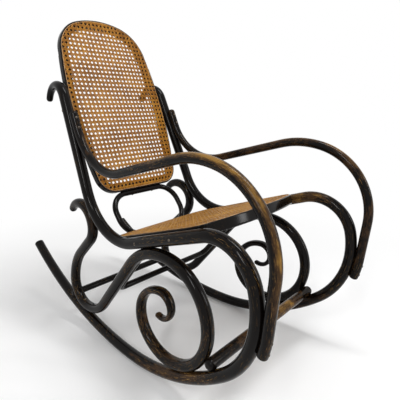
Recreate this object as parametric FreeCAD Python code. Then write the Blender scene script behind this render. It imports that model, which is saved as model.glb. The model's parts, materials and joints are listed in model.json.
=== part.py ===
"""A bentwood rocking chair with caned seat and back, in millimetres.

The chair stands on the floor at z = 0, faces -Y and is symmetric about x = 0. Left and
right are the sitter's, so the left side is at x > 0.
Every bent rod is drawn as a line laid round bending forms, which are circles, so that
it is made of arcs and straights only. Side rods are drawn in (y, z) in a flat side
plane, and each side plane toes in slightly towards the rear.
"""
import math
import os
from dataclasses import dataclass

import FreeCAD
import Part

Vector = FreeCAD.Vector

# Side planes
HALF_WIDTH = 241.0          # side plane from the middle, at y = 0
TOE_IN = 2.5                # degrees, the side planes come closer towards the rear

# Rod diameters
MAIN_ROD = 34.0             # runner, seat rail and back post
SCROLL_ROD = 32.0
ARM_ROD = 27.0
RING_ROD = 19.0
FRONT_STRETCHER_ROD = 31.0
REAR_STRETCHER_ROD = 24.0
BRACE_ROD = 20.0
SEATING = 1.5               # how deep one rod beds into the next where they are screwed
END_ROUNDING = 0.36         # rounding of a rod's end, as a share of its diameter

# Runner and front bow
LOW_POINT = 171.0           # y where the runner touches the floor, under the centre of mass
REAR_ROCKER_RADIUS = 1060.0
FRONT_ROCKER_RADIUS = 600.0
TAIL_HEADING = 216.0        # degrees, direction of the rod at its rear tip
TAIL_ROUNDING = 3.0
BOW_RADIUS = 243.0
BOW_HEADING = 141.0
BOW_TOP_RADIUS = 119.0
BOW_TOP_HEADING = 77.0
RAIL_HEADING = -18.4        # the seat rail falls towards the rear

# Scarf joint in the front bow
SCARF_START = 104.0         # degrees, heading of the rod where the joint begins
SCARF_MIDDLE = 83.0         # heading where the joint is halfway through the rod
SCARF_EDGE = 2.5            # thickness left at each feathered end

# Seat rail, back post and its hook
CORNER_Y = 197.0            # middle of the large bend behind the seat
CORNER_RADIUS = 180.0
POST_HEADING = 67.4         # slope of the back post
POST_LEAN = 2.0             # degrees, the post leans inwards
LEAN_RADIUS = 220.0
KNEE_ABOVE_BEND = 14.0      # from the end of the large bend to the lean
HOOK_HEIGHT = 772.0         # height of the middle of the hook at the top
HOOK_RADIUS = 59.5
HOOK_END = -84.0

# Scroll under the seat
VALLEY_Y = 423.0            # where the scroll rests on the rear of the runner
VALLEY_RADIUS = 75.0
VALLEY_FRONT_RADIUS = 138.0
VALLEY_FRONT_HEADING = 184.0
LIMB_RADIUS = 189.0
LIMB_HEADING = 279.0
CROTCH_HEIGHT = 388.0       # height of the hook that clasps the post
CROTCH_RADIUS = 67.0
CROTCH_START = 117.0
ARCH_Y = 4.0
ARCH_RADIUS = 192.0
LOOP_HEADING = 192.4
COIL_RADII = (122.0, 94.0, 39.0)
COIL_HEADINGS = (356.0, 50.0, 180.0)
COIL_END = 393.0
COIL_TIP = 13.0             # thickness of the flattened rod at the tip of the coil

# Arm
ARM_TOP = 747.0             # height of the rear end
ARM_DIP = 574.0             # lowest point of the arm's middle line behind the armrest
ARM_DIP_RADIUS = 186.0
ARM_APEX_Y = -117.0
ARM_APEX = 655.0
ARM_APEX_RADIUS = 270.0
ARM_FRONT_RADIUS = 203.0
ARM_FRONT_HEADING = 194.0
ARM_END_HEADING = 297.0

# Seat
SEAT_FRONT = -158.0         # along the seat, from the point over y = 0
SEAT_REAR = 290.0
SEAT_BULGE = 620.0          # radius of the front edge
SEAT_CORNER = 46.0
SEAT_REAR_CORNER = 62.0
SEAT_FRAME_WIDTH = 34.0
SEAT_FRAME_HEIGHT = 30.0
SEAT_FRAME_UNDER = 6.0      # rounding of the lower edges
SEAT_FRAME_OVER = 3.0       # rounding of the upper edges
SEAT_ABOVE_RAIL = 20.5      # top of the frame above the rail's middle line

# Back
BACK_TILT = 21.0            # degrees from upright
BACK_HEIGHT = 620.0         # along the slope
BACK_BOTTOM_Z = 480.0
BACK_WIDEST = 288.0         # height of the widest place, along the slope
BACK_SIDE_RADIUS = 1250.0
BACK_CORNER = 66.0
BACK_SHOULDER = 128.0
BACK_TOP_RADIUS = 300.0
BACK_FRAME_WIDTH = 29.0
BACK_FRAME_DEPTH = 25.0
BACK_FRAME_BEHIND = 9.0     # rounding of the edges at the back
BACK_FRAME_FACE = 2.5       # rounding of the edges at the front
BACK_SHIFT = 12.0           # how far the post's middle line is ahead of the frame's middle

# Ring between the back and the seat
RING_HALF_WIDTH = 140.0     # to the rod's middle line
RING_CORNER = 66.0

# Caning
CANE_THICKNESS = 1.6
GROOVE_WIDTH = 4.0
GROOVE_DEPTH = 6.0
GROOVE_INSET = 5.0          # from the frame's outer edge to the groove
SPLINE_CLEARANCE = 0.15
SPLINE_CROWN = 0.4          # rounding of its top, as a share of its width
BACK_CANE_PITCH = 30.0
SEAT_CANE_PITCH = 32.0
CANE_STRAND = 11.0          # width left between neighbouring openings
CANE_MARGIN = 7.0           # closed cane inside the frame's inner edge

# Brace under the seat
BRACE_HEIGHT = 197.0        # height of its cross bar
BRACE_CORNER = 26.0

# Fasteners
SCREW_SHANK = 4.0
SCREW_HEAD = 9.0
SCREW_DOME = 2.6
SCREW_POINT = 10.0          # length of its tapered end
SLOT_WIDTH = 1.2
SLOT_DEPTH = 1.2
HEAD_SEAT = 1.0             # how deep a screw's head is let into the rod
SCROLL_SCREW = 46.0         # screw lengths
ARM_SCREW = 38.0
SCARF_SCREW = 27.0
SEAT_SCREW = 52.0
BACK_SCREW = 50.0
RING_SCREW = 34.0
BRACE_SCREW = 38.0
STRETCHER_BITE = 14.0       # how far a stretcher's screw goes past the stretcher
ARM_FRONT_SCREWS = (281.0, 291.0)   # headings of the arm where it is screwed to the bow
ARM_REAR_SCREWS = (22.0, 52.0)      # below the arm's rear end
SCARF_SCREWS = (30.0, 68.0)         # headings of the bow
SEAT_SCREWS = (-40.0, 105.0)        # y along each rail
RING_SCREW_SEAT = 55.0              # from the middle, in the seat frame
RING_SCREW_BACK = 45.0              # from the middle, in the back frame
BRACE_SCREW_RISE = 67.0             # above the brace's cross bar
BACK_SCREW_SHIFT = 3.0              # behind the middle line of the post

STRETCHER_OVERHANG = 14.0   # how far the stretchers run past the side planes
TOUCH = 0.001               # places closer than this are one place


@dataclass(frozen=True)
class Form:
    """A round bending form: its centre and its radius, negative for a turn to the right."""

    y: float
    z: float
    radius: float


def left(heading):
    """Unit step to the left of a heading in degrees, as (y, z)."""
    return -math.sin(math.radians(heading)), math.cos(math.radians(heading))


def ahead(heading):
    """Unit step along a heading in degrees, as (y, z)."""
    return math.cos(math.radians(heading)), math.sin(math.radians(heading))


def flat(pair):
    """A (y, z) pair as a point in the plane x = 0."""
    return Vector(0.0, *pair)


def on_form(form, heading):
    """The point of a form where the rod runs along a heading."""
    dy, dz = left(heading)
    return form.y - form.radius * dy, form.z - form.radius * dz


def takeover(form, heading, radius):
    """The form of another radius that carries on smoothly from a form at a heading."""
    dy, dz = left(heading)
    step = form.radius - radius
    return Form(form.y - step * dy, form.z - step * dz, radius)


def crossing_heading(first, second):
    """Heading of the straight that leaves one form and arrives at the next."""
    dy = second.y - first.y
    dz = second.z - first.z
    sine = (second.radius - first.radius) / math.hypot(dy, dz)
    if abs(sine) > 1.0 - 1e-7:
        sine = math.copysign(1.0, sine)
    return math.degrees(math.atan2(dz, dy) - math.asin(sine))


def meet(first, first_distance, second, second_distance, side):
    """The point at given distances from two centres, on the given side of the line between."""
    dy = second[0] - first[0]
    dz = second[1] - first[1]
    span = math.hypot(dy, dz)
    along = (first_distance ** 2 - second_distance ** 2 + span ** 2) / (2.0 * span)
    off = side * math.sqrt(first_distance ** 2 - along ** 2)
    return first[0] + (along * dy - off * dz) / span, first[1] + (along * dz + off * dy) / span


def swing(form, start, end):
    """Signed turn in degrees that a rod makes on a form between two headings."""
    way = math.copysign(1.0, form.radius)
    turn = ((end - start) * way) % 360.0
    if turn > 359.9:
        turn -= 360.0
    return turn * way


def laid_line(forms, start, end):
    """Arcs and straights of a rod laid round the forms, each as three points (y, z).

    A straight has its middle point left out as None.
    """
    headings = [start]
    headings += [crossing_heading(a, b) for a, b in zip(forms, forms[1:])]
    headings += [end]
    pieces = []
    last = None
    for index, form in enumerate(forms):
        enter = headings[index]
        turn = swing(form, enter, headings[index + 1])
        begin = on_form(form, enter)
        if last is not None and math.dist(last, begin) > TOUCH:
            pieces.append((last, None, begin))
        finish = on_form(form, enter + turn)
        if abs(turn) > 0.01:
            pieces.append((begin, on_form(form, enter + turn / 2.0), finish))
            last = finish
        elif last is None:
            last = begin
    return pieces


def closed_pieces(forms, inset=0.0):
    """Arcs and straights once round the forms, turning left, moved inwards by an inset."""
    forms = [Form(form.y, form.z, form.radius - inset) for form in forms]
    headings = [crossing_heading(forms[i - 1], forms[i]) for i in range(len(forms))]
    pieces = []
    for index, form in enumerate(forms):
        following = (index + 1) % len(forms)
        turn = swing(form, headings[index], headings[following])
        points = [on_form(form, headings[index] + turn * part) for part in (0.0, 0.5, 1.0)]
        pieces.append(tuple(points))
        target = on_form(forms[following], headings[following])
        if math.dist(points[2], target) > TOUCH:
            pieces.append((points[2], None, target))
    return pieces


def closed_face(forms, inset=0.0):
    """Flat face in the local XY plane inside the line round the forms."""
    edges = []
    for begin, middle, finish in closed_pieces(forms, inset):
        ends = Vector(*begin, 0.0), Vector(*finish, 0.0)
        if middle is None:
            edges.append(Part.makeLine(*ends))
        else:
            edges.append(Part.Arc(ends[0], Vector(*middle, 0.0), ends[1]).toShape())
    return Part.Face(Part.Wire(edges))


def band(forms, outer_inset, inner_inset, bottom, top):
    """Flat band between two insets of the line round the forms, from one level to another."""
    level = Vector(0.0, 0.0, bottom)
    rise = Vector(0.0, 0.0, top - bottom)
    outer = closed_face(forms, outer_inset).translated(level).extrude(rise)
    return outer.cut(closed_face(forms, inner_inset).translated(level).extrude(rise))


def straight_rod(diameter, begin, finish):
    """Round bar between two points."""
    return Part.makeCylinder(diameter / 2.0, begin.distanceToPoint(finish), begin, finish - begin)


def bent_rod(diameter, begin, middle, finish):
    """Round bar along the arc through three points."""
    arc = Part.Arc(begin, middle, finish).toShape()
    circle = arc.Curve
    tangent = arc.tangentAt(arc.FirstParameter)
    face = Part.Face(Part.Wire(Part.makeCircle(diameter / 2.0, begin, tangent)))
    turn = math.degrees(arc.Length / circle.Radius)
    return face.revolve(circle.Center, (begin - circle.Center).cross(tangent), turn)


def rod_along(diameter, pieces):
    """Round rod along arcs and straights, each given as three points or as two and None."""
    bars = []
    for begin, middle, finish in pieces:
        if middle is None:
            bars.append(straight_rod(diameter, begin, finish))
        else:
            bars.append(bent_rod(diameter, begin, middle, finish))
    rod = bars[0] if len(bars) == 1 else bars[0].multiFuse(bars[1:])
    return rod.removeSplitter()


def upright(pieces):
    """Pieces in (y, z) as points in the plane x = 0."""
    return [tuple(None if point is None else Vector(0.0, *point) for point in piece) for piece in pieces]


def on_side(shape, toe=TOE_IN, half_width=HALF_WIDTH):
    """A shape of the plane x = 0, put in the chair's side plane at x > 0."""
    turned = shape.copy()
    turned.rotate(Vector(0.0, 0.0, 0.0), Vector(0.0, 0.0, 1.0), toe)
    turned.translate(Vector(half_width, 0.0, 0.0))
    return turned


def side_point(y, z, toe=TOE_IN, half_width=HALF_WIDTH):
    """A point (y, z) of the side plane at x > 0."""
    turn = math.radians(toe)
    return Vector(half_width - y * math.sin(turn), y * math.cos(turn), z)


def mirrored(shape):
    """The same shape on the other side of the chair."""
    return shape.mirror(Vector(0.0, 0.0, 0.0), Vector(1.0, 0.0, 0.0))


def rounded_end(rod, diameter, tip):
    """A rod with its edge rounded at the end nearest to a point."""
    edges = [edge for edge in rod.Edges
             if isinstance(edge.Curve, Part.Circle) and abs(edge.Curve.Radius - diameter / 2.0) < 0.01
             and edge.Curve.Center.distanceToPoint(tip) < 0.1]
    return rod.makeFillet(diameter * END_ROUNDING, edges)


# The main line, from the rear tip of the runner to the hook at the top of the post
contact = MAIN_ROD / 2.0 + SCROLL_ROD / 2.0 - SEATING
rear_form = Form(LOW_POINT, MAIN_ROD / 2.0 + REAR_ROCKER_RADIUS, -REAR_ROCKER_RADIUS)
front_form = Form(LOW_POINT, MAIN_ROD / 2.0 + FRONT_ROCKER_RADIUS, -FRONT_ROCKER_RADIUS)
bow_form = takeover(front_form, BOW_HEADING, -BOW_RADIUS)
bow_top_form = takeover(bow_form, BOW_TOP_HEADING, -BOW_TOP_RADIUS)
rail_start = on_form(bow_top_form, RAIL_HEADING)


def rail_height(y):
    """Height of the seat rail's middle line at y."""
    return rail_start[1] + (y - rail_start[0]) * math.tan(math.radians(RAIL_HEADING))


seat_slope = math.radians(RAIL_HEADING)
corner_form = Form(CORNER_Y, rail_height(CORNER_Y) + CORNER_RADIUS / math.cos(seat_slope), CORNER_RADIUS)
post_foot = on_form(corner_form, POST_HEADING)


def post_y(z):
    """The back post's middle line at a height, in the side plane."""
    return post_foot[0] + (z - post_foot[1]) / math.tan(math.radians(POST_HEADING))


post_knee = Vector(0.0, *post_foot) + Vector(0.0, *ahead(POST_HEADING)) * KNEE_ABOVE_BEND


hook_form = Form(post_y(HOOK_HEIGHT) + HOOK_RADIUS / math.sin(math.radians(POST_HEADING)),
                 HOOK_HEIGHT, -HOOK_RADIUS)

# The scroll: its rear valley and its loop rest on the runner, its arch is under the rail
valley_reach = REAR_ROCKER_RADIUS - contact - VALLEY_RADIUS
valley_depth = math.sqrt(valley_reach ** 2 - (VALLEY_Y - rear_form.y) ** 2)
valley_form = Form(VALLEY_Y, rear_form.z - valley_depth, -VALLEY_RADIUS)
limb_form = takeover(valley_form, LIMB_HEADING, -LIMB_RADIUS)
valley_front_form = takeover(valley_form, VALLEY_FRONT_HEADING, -VALLEY_FRONT_RADIUS)
crotch_reach = CORNER_RADIUS + contact + CROTCH_RADIUS
crotch_behind = math.sqrt(crotch_reach ** 2 - (CROTCH_HEIGHT - corner_form.z) ** 2)
crotch_form = Form(corner_form.y + crotch_behind, CROTCH_HEIGHT, CROTCH_RADIUS)
arch_form = Form(ARCH_Y, rail_height(ARCH_Y) - (contact + ARCH_RADIUS) / math.cos(seat_slope), ARCH_RADIUS)
loop_reach = FRONT_ROCKER_RADIUS - contact
loop_side = left(LOOP_HEADING)
loop_gap = (arch_form.y - ARCH_RADIUS * loop_side[0] - front_form.y,
            arch_form.z - ARCH_RADIUS * loop_side[1] - front_form.z)
loop_radius = ((loop_reach ** 2 - loop_gap[0] ** 2 - loop_gap[1] ** 2)
               / (2.0 * (loop_reach + loop_gap[0] * loop_side[0] + loop_gap[1] * loop_side[1])))
loop_form = takeover(arch_form, LOOP_HEADING, loop_radius)


def scroll_forms():
    """Forms of the whole scroll, from the hook at the post to the middle of the coil."""
    forms = [crotch_form, limb_form, valley_form, valley_front_form, arch_form, loop_form]
    for radius, heading in zip(COIL_RADII, COIL_HEADINGS):
        forms.append(takeover(forms[-1], heading, radius))
    return forms


# The arm: its rear end lies along the front of the post, its front end along the bow
arm_contact = MAIN_ROD / 2.0 + ARM_ROD / 2.0 - SEATING
arm_dip_z = ARM_DIP + ARM_DIP_RADIUS
post_slope = math.radians(POST_HEADING)
arm_dip_ahead = (arm_contact + ARM_DIP_RADIUS) / math.sin(post_slope)
arm_dip_form = Form(post_y(arm_dip_z) - arm_dip_ahead, arm_dip_z, -ARM_DIP_RADIUS)
arm_apex_form = Form(ARM_APEX_Y, ARM_APEX - ARM_APEX_RADIUS, ARM_APEX_RADIUS)
arm_front_form = takeover(arm_apex_form, ARM_FRONT_HEADING, ARM_FRONT_RADIUS)
arm_end_form = Form(bow_form.y, bow_form.z, BOW_RADIUS + arm_contact)


def scarf_cutter():
    """Round block whose rim crosses the bow from its inner to its outer side."""
    inner = bow_form.radius + MAIN_ROD / 2.0 - SCARF_EDGE
    outer = bow_top_form.radius - MAIN_ROD / 2.0 + SCARF_EDGE
    begin = on_form(Form(bow_form.y, bow_form.z, inner), SCARF_START)
    middle = on_form(bow_form, SCARF_MIDDLE)
    finish = on_form(Form(bow_top_form.y, bow_top_form.z, outer), RAIL_HEADING)
    rim = Part.Arc(Vector(0.0, *begin), Vector(0.0, *middle), Vector(0.0, *finish)).toShape().Curve
    return Part.makeCylinder(rim.Radius, 4.0 * MAIN_ROD,
                             Vector(-2.0 * MAIN_ROD, rim.Center.y, rim.Center.z), Vector(1.0, 0.0, 0.0))


def runner_rod():
    """Runner with the front bow, thinned on the inside for the scarf joint."""
    forms = [rear_form, front_form, bow_form, bow_top_form]
    rod = rod_along(MAIN_ROD, upright(laid_line(forms, TAIL_HEADING, RAIL_HEADING)))
    tip = Vector(0.0, *on_form(rear_form, TAIL_HEADING))
    edges = [edge for edge in rod.Edges if isinstance(edge.Curve, Part.Circle)
             and edge.Curve.Center.distanceToPoint(tip) < 0.1]
    return rod.makeFillet(TAIL_ROUNDING, edges).cut(scarf_cutter())


def rounded_corner(before, corner, after, radius):
    """Arc, as three points, that rounds a corner between two straights."""
    back = (before - corner).normalize()
    on = (after - corner).normalize()
    half = back.getAngle(on) / 2.0
    middle = (back + on).normalize()
    centre = corner + middle * (radius / math.sin(half))
    reach = radius / math.tan(half)
    return corner + back * reach, centre - middle * radius, corner + on * reach


def leaned(point):
    """A point of the post or its hook, turned inwards about the knee of the post."""
    axis = Vector(0.0, *left(POST_HEADING))
    return post_knee + FreeCAD.Rotation(axis, POST_LEAN).multVec(point - post_knee)


def post_at(z):
    """The leaned post's middle line at a height, in the plane x = 0."""
    travel = (z - post_knee.z) / (math.sin(post_slope) * math.cos(math.radians(POST_LEAN)))
    return leaned(post_knee + Vector(0.0, *ahead(POST_HEADING)) * travel)


def rail_and_post_rod():
    """Seat rail with its half of the scarf joint, the bend, the post and the hook."""
    forms = [bow_form, bow_top_form, corner_form, hook_form]
    pieces = upright(laid_line(forms, SCARF_START, HOOK_END))
    post_begin, _, post_end = pieces[-2]
    hook = tuple(leaned(point) for point in pieces[-1])
    knee = rounded_corner(post_begin, post_knee, leaned(post_end), LEAN_RADIUS)
    path = pieces[:-2] + [(post_begin, None, knee[0]), knee, (knee[2], None, hook[0]), hook]
    return rounded_end(rod_along(MAIN_ROD, path), MAIN_ROD, hook[2])


def coil_band():
    """Block that leaves the coil flattened: it thins evenly to its rounded tip."""
    forms = scroll_forms()[-len(COIL_RADII):]
    headings = [COIL_HEADINGS[0]]
    for form, heading in zip(forms, (*COIL_HEADINGS[1:], COIL_END)):
        headings.append(headings[-1] + swing(form, headings[-1], heading))
    lengths = [form.radius * math.radians(end - start)
               for form, start, end in zip(forms, headings, headings[1:])]

    def edge_point(index, part_way, side):
        """A point on the band's outer (-1) or inner (1) edge, part of the way along one bend."""
        heading = headings[index] + part_way * (headings[index + 1] - headings[index])
        travelled = (sum(lengths[:index]) + part_way * lengths[index]) / sum(lengths)
        half = (SCROLL_ROD + travelled * (COIL_TIP - SCROLL_ROD)) / 2.0
        place = flat(on_form(forms[index], heading)) + flat(left(heading)) * (side * half)
        return place - Vector(SCROLL_ROD, 0.0, 0.0)

    bends = range(len(forms))
    outer = [[edge_point(index, part_way, -1.0) for part_way in (0.0, 0.5, 1.0)] for index in bends]
    inner = [[edge_point(index, part_way, 1.0) for part_way in (1.0, 0.5, 0.0)] for index in reversed(bends)]
    tip = (outer[-1][-1] + inner[0][0]) * 0.5
    end = [outer[-1][-1], tip + flat(ahead(headings[-1])) * (COIL_TIP / 2.0), inner[0][0]]
    edges = [Part.Arc(*points).toShape() for points in outer + [end] + inner]
    edges.append(Part.makeLine(inner[-1][-1], outer[0][0]))
    return Part.Face(Part.Wire(edges)).extrude(Vector(2.0 * SCROLL_ROD, 0.0, 0.0))


def scroll_rod():
    """Scroll under the seat, round up to its coil and flattened towards the coil's tip."""
    forms = scroll_forms()
    spare = math.degrees(COIL_TIP / COIL_RADII[-1])
    pieces = upright(laid_line(forms, CROTCH_START, COIL_END + spare))
    bends = len(COIL_RADII)
    rod = rod_along(SCROLL_ROD, pieces[:-bends])
    rod = rounded_end(rod, SCROLL_ROD, Vector(0.0, *on_form(forms[0], CROTCH_START)))
    return rod.fuse(rod_along(SCROLL_ROD, pieces[-bends:]).common(coil_band()))


def arm_rod():
    """Arm with rounded ends."""
    start = (post_y(ARM_TOP) - arm_contact / math.sin(post_slope), ARM_TOP)
    forms = [Form(*start, -TOUCH), arm_dip_form, arm_apex_form, arm_front_form, arm_end_form]
    heading = crossing_heading(forms[0], forms[1])
    pieces = [piece for piece in laid_line(forms, heading, ARM_END_HEADING)
              if math.dist(piece[0], piece[2]) > TOUCH]
    rod = rod_along(ARM_ROD, upright(pieces))
    for tip in (pieces[0][0], pieces[-1][2]):
        rod = rounded_end(rod, ARM_ROD, Vector(0.0, *tip))
    return rod


# The seat frame fits between the rails, its front edge bulges and its sides follow the rails
seat_taper = math.tan(math.radians(TOE_IN)) * math.cos(seat_slope)
seat_half = HALF_WIDTH - (MAIN_ROD / 2.0 - SEATING) / math.cos(math.radians(TOE_IN))


def seat_forms():
    """Forms of the seat frame's outer edge, seen from above, with x to the right and rear upwards."""
    stretch = math.hypot(1.0, seat_taper)
    reach = SEAT_BULGE - SEAT_CORNER
    middle = SEAT_FRONT + SEAT_BULGE
    edge = seat_half - SEAT_CORNER * stretch
    linear = edge * seat_taper + middle
    square = edge ** 2 + middle ** 2 - reach ** 2
    front = (linear - math.sqrt(linear ** 2 - stretch ** 2 * square)) / stretch ** 2
    rear = SEAT_REAR - SEAT_REAR_CORNER
    front_x = edge - seat_taper * front
    rear_x = seat_half - SEAT_REAR_CORNER * stretch - seat_taper * rear
    return [Form(front_x, front, SEAT_CORNER), Form(rear_x, rear, SEAT_REAR_CORNER),
            Form(-rear_x, rear, SEAT_REAR_CORNER), Form(-front_x, front, SEAT_CORNER),
            Form(0.0, middle, SEAT_BULGE)]


def seat_point(x, along, above):
    """A point given along the seat, from over y = 0, and above the rails' middle lines."""
    return seat_placement.multVec(Vector(x, along, above))


seat_placement = FreeCAD.Placement(Vector(0.0, 0.0, rail_height(0.0)),
                                   FreeCAD.Rotation(Vector(1.0, 0.0, 0.0), RAIL_HEADING))

# The back frame fits between the posts where it is widest
back_slope = math.radians(BACK_TILT)
back_fixing_z = BACK_BOTTOM_Z + BACK_WIDEST * math.cos(back_slope)


def to_side(point, toe=TOE_IN, half_width=HALF_WIDTH):
    """A point of the plane x = 0, put in the side plane at x > 0."""
    turned = FreeCAD.Rotation(Vector(0.0, 0.0, 1.0), toe).multVec(point)
    return turned + Vector(half_width, 0.0, 0.0)


post_fixing = to_side(post_at(back_fixing_z))
back_half = post_fixing.x - MAIN_ROD / 2.0 + SEATING
back_bottom = Vector(0.0,
                     post_fixing.y + (BACK_SHIFT - BACK_FRAME_DEPTH / 2.0) / math.cos(back_slope)
                     - BACK_WIDEST * math.sin(back_slope), BACK_BOTTOM_Z)
back_placement = FreeCAD.Placement(back_bottom, FreeCAD.Rotation(Vector(1.0, 0.0, 0.0), 90.0 - BACK_TILT))


def back_forms():
    """Forms of the back frame's outer edge, seen from the front, with x to the right."""
    side = (back_half - BACK_SIDE_RADIUS, BACK_WIDEST)
    reach = BACK_SIDE_RADIUS - BACK_CORNER
    corner_x = side[0] + math.sqrt(reach ** 2 - (BACK_WIDEST - BACK_CORNER) ** 2)
    top = (0.0, BACK_HEIGHT - BACK_TOP_RADIUS)
    shoulder = meet(side, BACK_SIDE_RADIUS - BACK_SHOULDER, top, BACK_TOP_RADIUS - BACK_SHOULDER, 1.0)
    return [Form(corner_x, BACK_CORNER, BACK_CORNER), Form(side[0], side[1], BACK_SIDE_RADIUS),
            Form(shoulder[0], shoulder[1], BACK_SHOULDER), Form(top[0], top[1], BACK_TOP_RADIUS),
            Form(-shoulder[0], shoulder[1], BACK_SHOULDER), Form(-side[0], side[1], BACK_SIDE_RADIUS),
            Form(-corner_x, BACK_CORNER, BACK_CORNER)]


def frame_ring(forms, width, depth, top, round_under, round_over):
    """Bent wooden frame with rounded edges and a groove for the caning in its top face."""
    bottom = top - depth
    frame = band(forms, 0.0, width, bottom, top)
    under = [edge for edge in frame.Edges if abs(edge.BoundBox.ZMax - bottom) < 0.01]
    frame = frame.makeFillet(round_under, under)
    over = [edge for edge in frame.Edges if abs(edge.BoundBox.ZMin - top) < 0.01]
    frame = frame.makeFillet(round_over, over)
    return frame.cut(band(forms, GROOVE_INSET, GROOVE_INSET + GROOVE_WIDTH, top - GROOVE_DEPTH, top + 1.0))


def cane_panel(forms, width, top, pitch):
    """Caning as one sheet with square openings, and a skirt that goes down into the groove."""
    skirt = GROOVE_INSET + GROOVE_WIDTH - CANE_THICKNESS
    level = Vector(0.0, 0.0, top)
    opening = pitch - CANE_STRAND
    border = closed_face(forms, width + CANE_MARGIN)
    box = border.BoundBox
    columns = int(box.XMax / pitch) + 1
    rows = int(box.YLength / pitch) + 1
    middle = (box.YMin + box.YMax) / 2.0
    sheet = closed_face(forms, skirt)
    holes = []
    for column in range(-columns, columns + 1):
        for row in range(-rows, rows + 1):
            corner = Vector(column * pitch - opening / 2.0, middle + row * pitch - opening / 2.0, 0.0)
            hole = Part.makePlane(opening, opening, corner)
            if all(border.isInside(vertex.Point, 0.01, True) for vertex in hole.Vertexes):
                holes.append(hole.OuterWire.reversed())
    sheet = Part.Face([sheet.OuterWire] + holes)
    sheet.validate()
    panel = sheet.translated(level).extrude(Vector(0.0, 0.0, CANE_THICKNESS))
    hem = band(forms, skirt, GROOVE_INSET + GROOVE_WIDTH, top - GROOVE_DEPTH, top)
    return panel.fuse(hem).removeSplitter()


def spline(forms, top):
    """Round-topped strip that holds the caning in its groove."""
    outer = GROOVE_INSET + SPLINE_CLEARANCE
    inner = GROOVE_INSET + GROOVE_WIDTH - CANE_THICKNESS - SPLINE_CLEARANCE
    strip = band(forms, outer, inner, top - GROOVE_DEPTH + SPLINE_CLEARANCE, top + CANE_THICKNESS)
    crown = [edge for edge in strip.Edges if abs(edge.BoundBox.ZMin - top - CANE_THICKNESS) < 0.01]
    return strip.makeFillet((inner - outer) * SPLINE_CROWN, crown)


def ring_rod():
    """Oval ring from the rear of the seat to the bottom of the back."""
    foot = seat_point(0.0, SEAT_REAR + RING_ROD / 2.0 - SEATING, SEAT_ABOVE_RAIL - SEAT_FRAME_HEIGHT / 2.0)
    head = back_placement.multVec(Vector(0.0, SEATING - RING_ROD / 2.0, -BACK_FRAME_DEPTH / 2.0))
    rise = (head - foot).normalize()
    middle = (head + foot) * 0.5
    half = foot.distanceToPoint(head) / 2.0
    x = RING_HALF_WIDTH - RING_CORNER
    y = half - RING_CORNER
    corners = ((x, -y), (x, y), (-x, y), (-x, -y))
    forms = [Form(*corner, RING_CORNER) for corner in corners]
    turn = math.degrees(math.atan2(rise.z, rise.y))
    place = FreeCAD.Placement(middle, FreeCAD.Rotation(Vector(1.0, 0.0, 0.0), turn))
    path = [tuple(None if p is None else place.multVec(Vector(*p, 0.0)) for p in piece)
            for piece in closed_pieces(forms)]
    return rod_along(RING_ROD, path)


# The stretchers lie in the crotches between the runners and the scrolls
front_stretcher = meet((front_form.y, front_form.z),
                       FRONT_ROCKER_RADIUS - (MAIN_ROD + FRONT_STRETCHER_ROD) / 2.0 + SEATING,
                       (loop_form.y, loop_form.z),
                       loop_radius + (SCROLL_ROD + FRONT_STRETCHER_ROD) / 2.0 - SEATING, -1.0)
rear_stretcher = meet((rear_form.y, rear_form.z),
                      REAR_ROCKER_RADIUS - (MAIN_ROD + REAR_STRETCHER_ROD) / 2.0 + SEATING,
                      (valley_form.y, valley_form.z),
                      VALLEY_RADIUS + (SCROLL_ROD + REAR_STRETCHER_ROD) / 2.0 - SEATING, 1.0)


def stretcher(diameter, place):
    """Straight round bar across the chair, with rounded ends."""
    end = side_point(place[0], place[1])
    end.x += STRETCHER_OVERHANG
    bar = straight_rod(diameter, Vector(-end.x, end.y, end.z), end)
    rims = [edge for edge in bar.Edges if isinstance(edge.Curve, Part.Circle)]
    return bar.makeFillet(diameter * END_ROUNDING, rims)


limb_heading = crossing_heading(valley_front_form, arch_form)
limb_foot = on_form(valley_front_form, limb_heading)
seat_under = SEAT_ABOVE_RAIL - SEAT_FRAME_HEIGHT
brace_reach = (SCROLL_ROD + BRACE_ROD) / 2.0 - SEATING


def on_limb(z):
    """Middle line of the brace's leg at a height, beside the straight limb of the scroll."""
    y = limb_foot[0] + (z - limb_foot[1]) / math.tan(math.radians(limb_heading))
    point = side_point(y, z)
    point.x -= brace_reach
    return point


def brace_rod():
    """Bent bar with its legs up the scrolls and its cross bar low between them."""
    fall = math.tan(math.radians(limb_heading))
    rail_fall = math.tan(seat_slope)
    under = rail_height(0.0) + seat_under / math.cos(seat_slope)
    top_y = (under - limb_foot[1] + fall * limb_foot[0]) / (fall - rail_fall)
    top = on_limb(under + rail_fall * top_y + BRACE_ROD / 2.0)
    foot = on_limb(BRACE_HEIGHT)
    points = [Vector(-top.x, top.y, top.z), Vector(-foot.x, foot.y, foot.z), foot, top]
    first = rounded_corner(points[0], points[1], points[2], BRACE_CORNER)
    second = rounded_corner(points[1], points[2], points[3], BRACE_CORNER)
    return rod_along(BRACE_ROD, [(points[0], None, first[0]), first, (first[2], None, second[0]), second,
                                 (second[2], None, points[3])])


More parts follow.
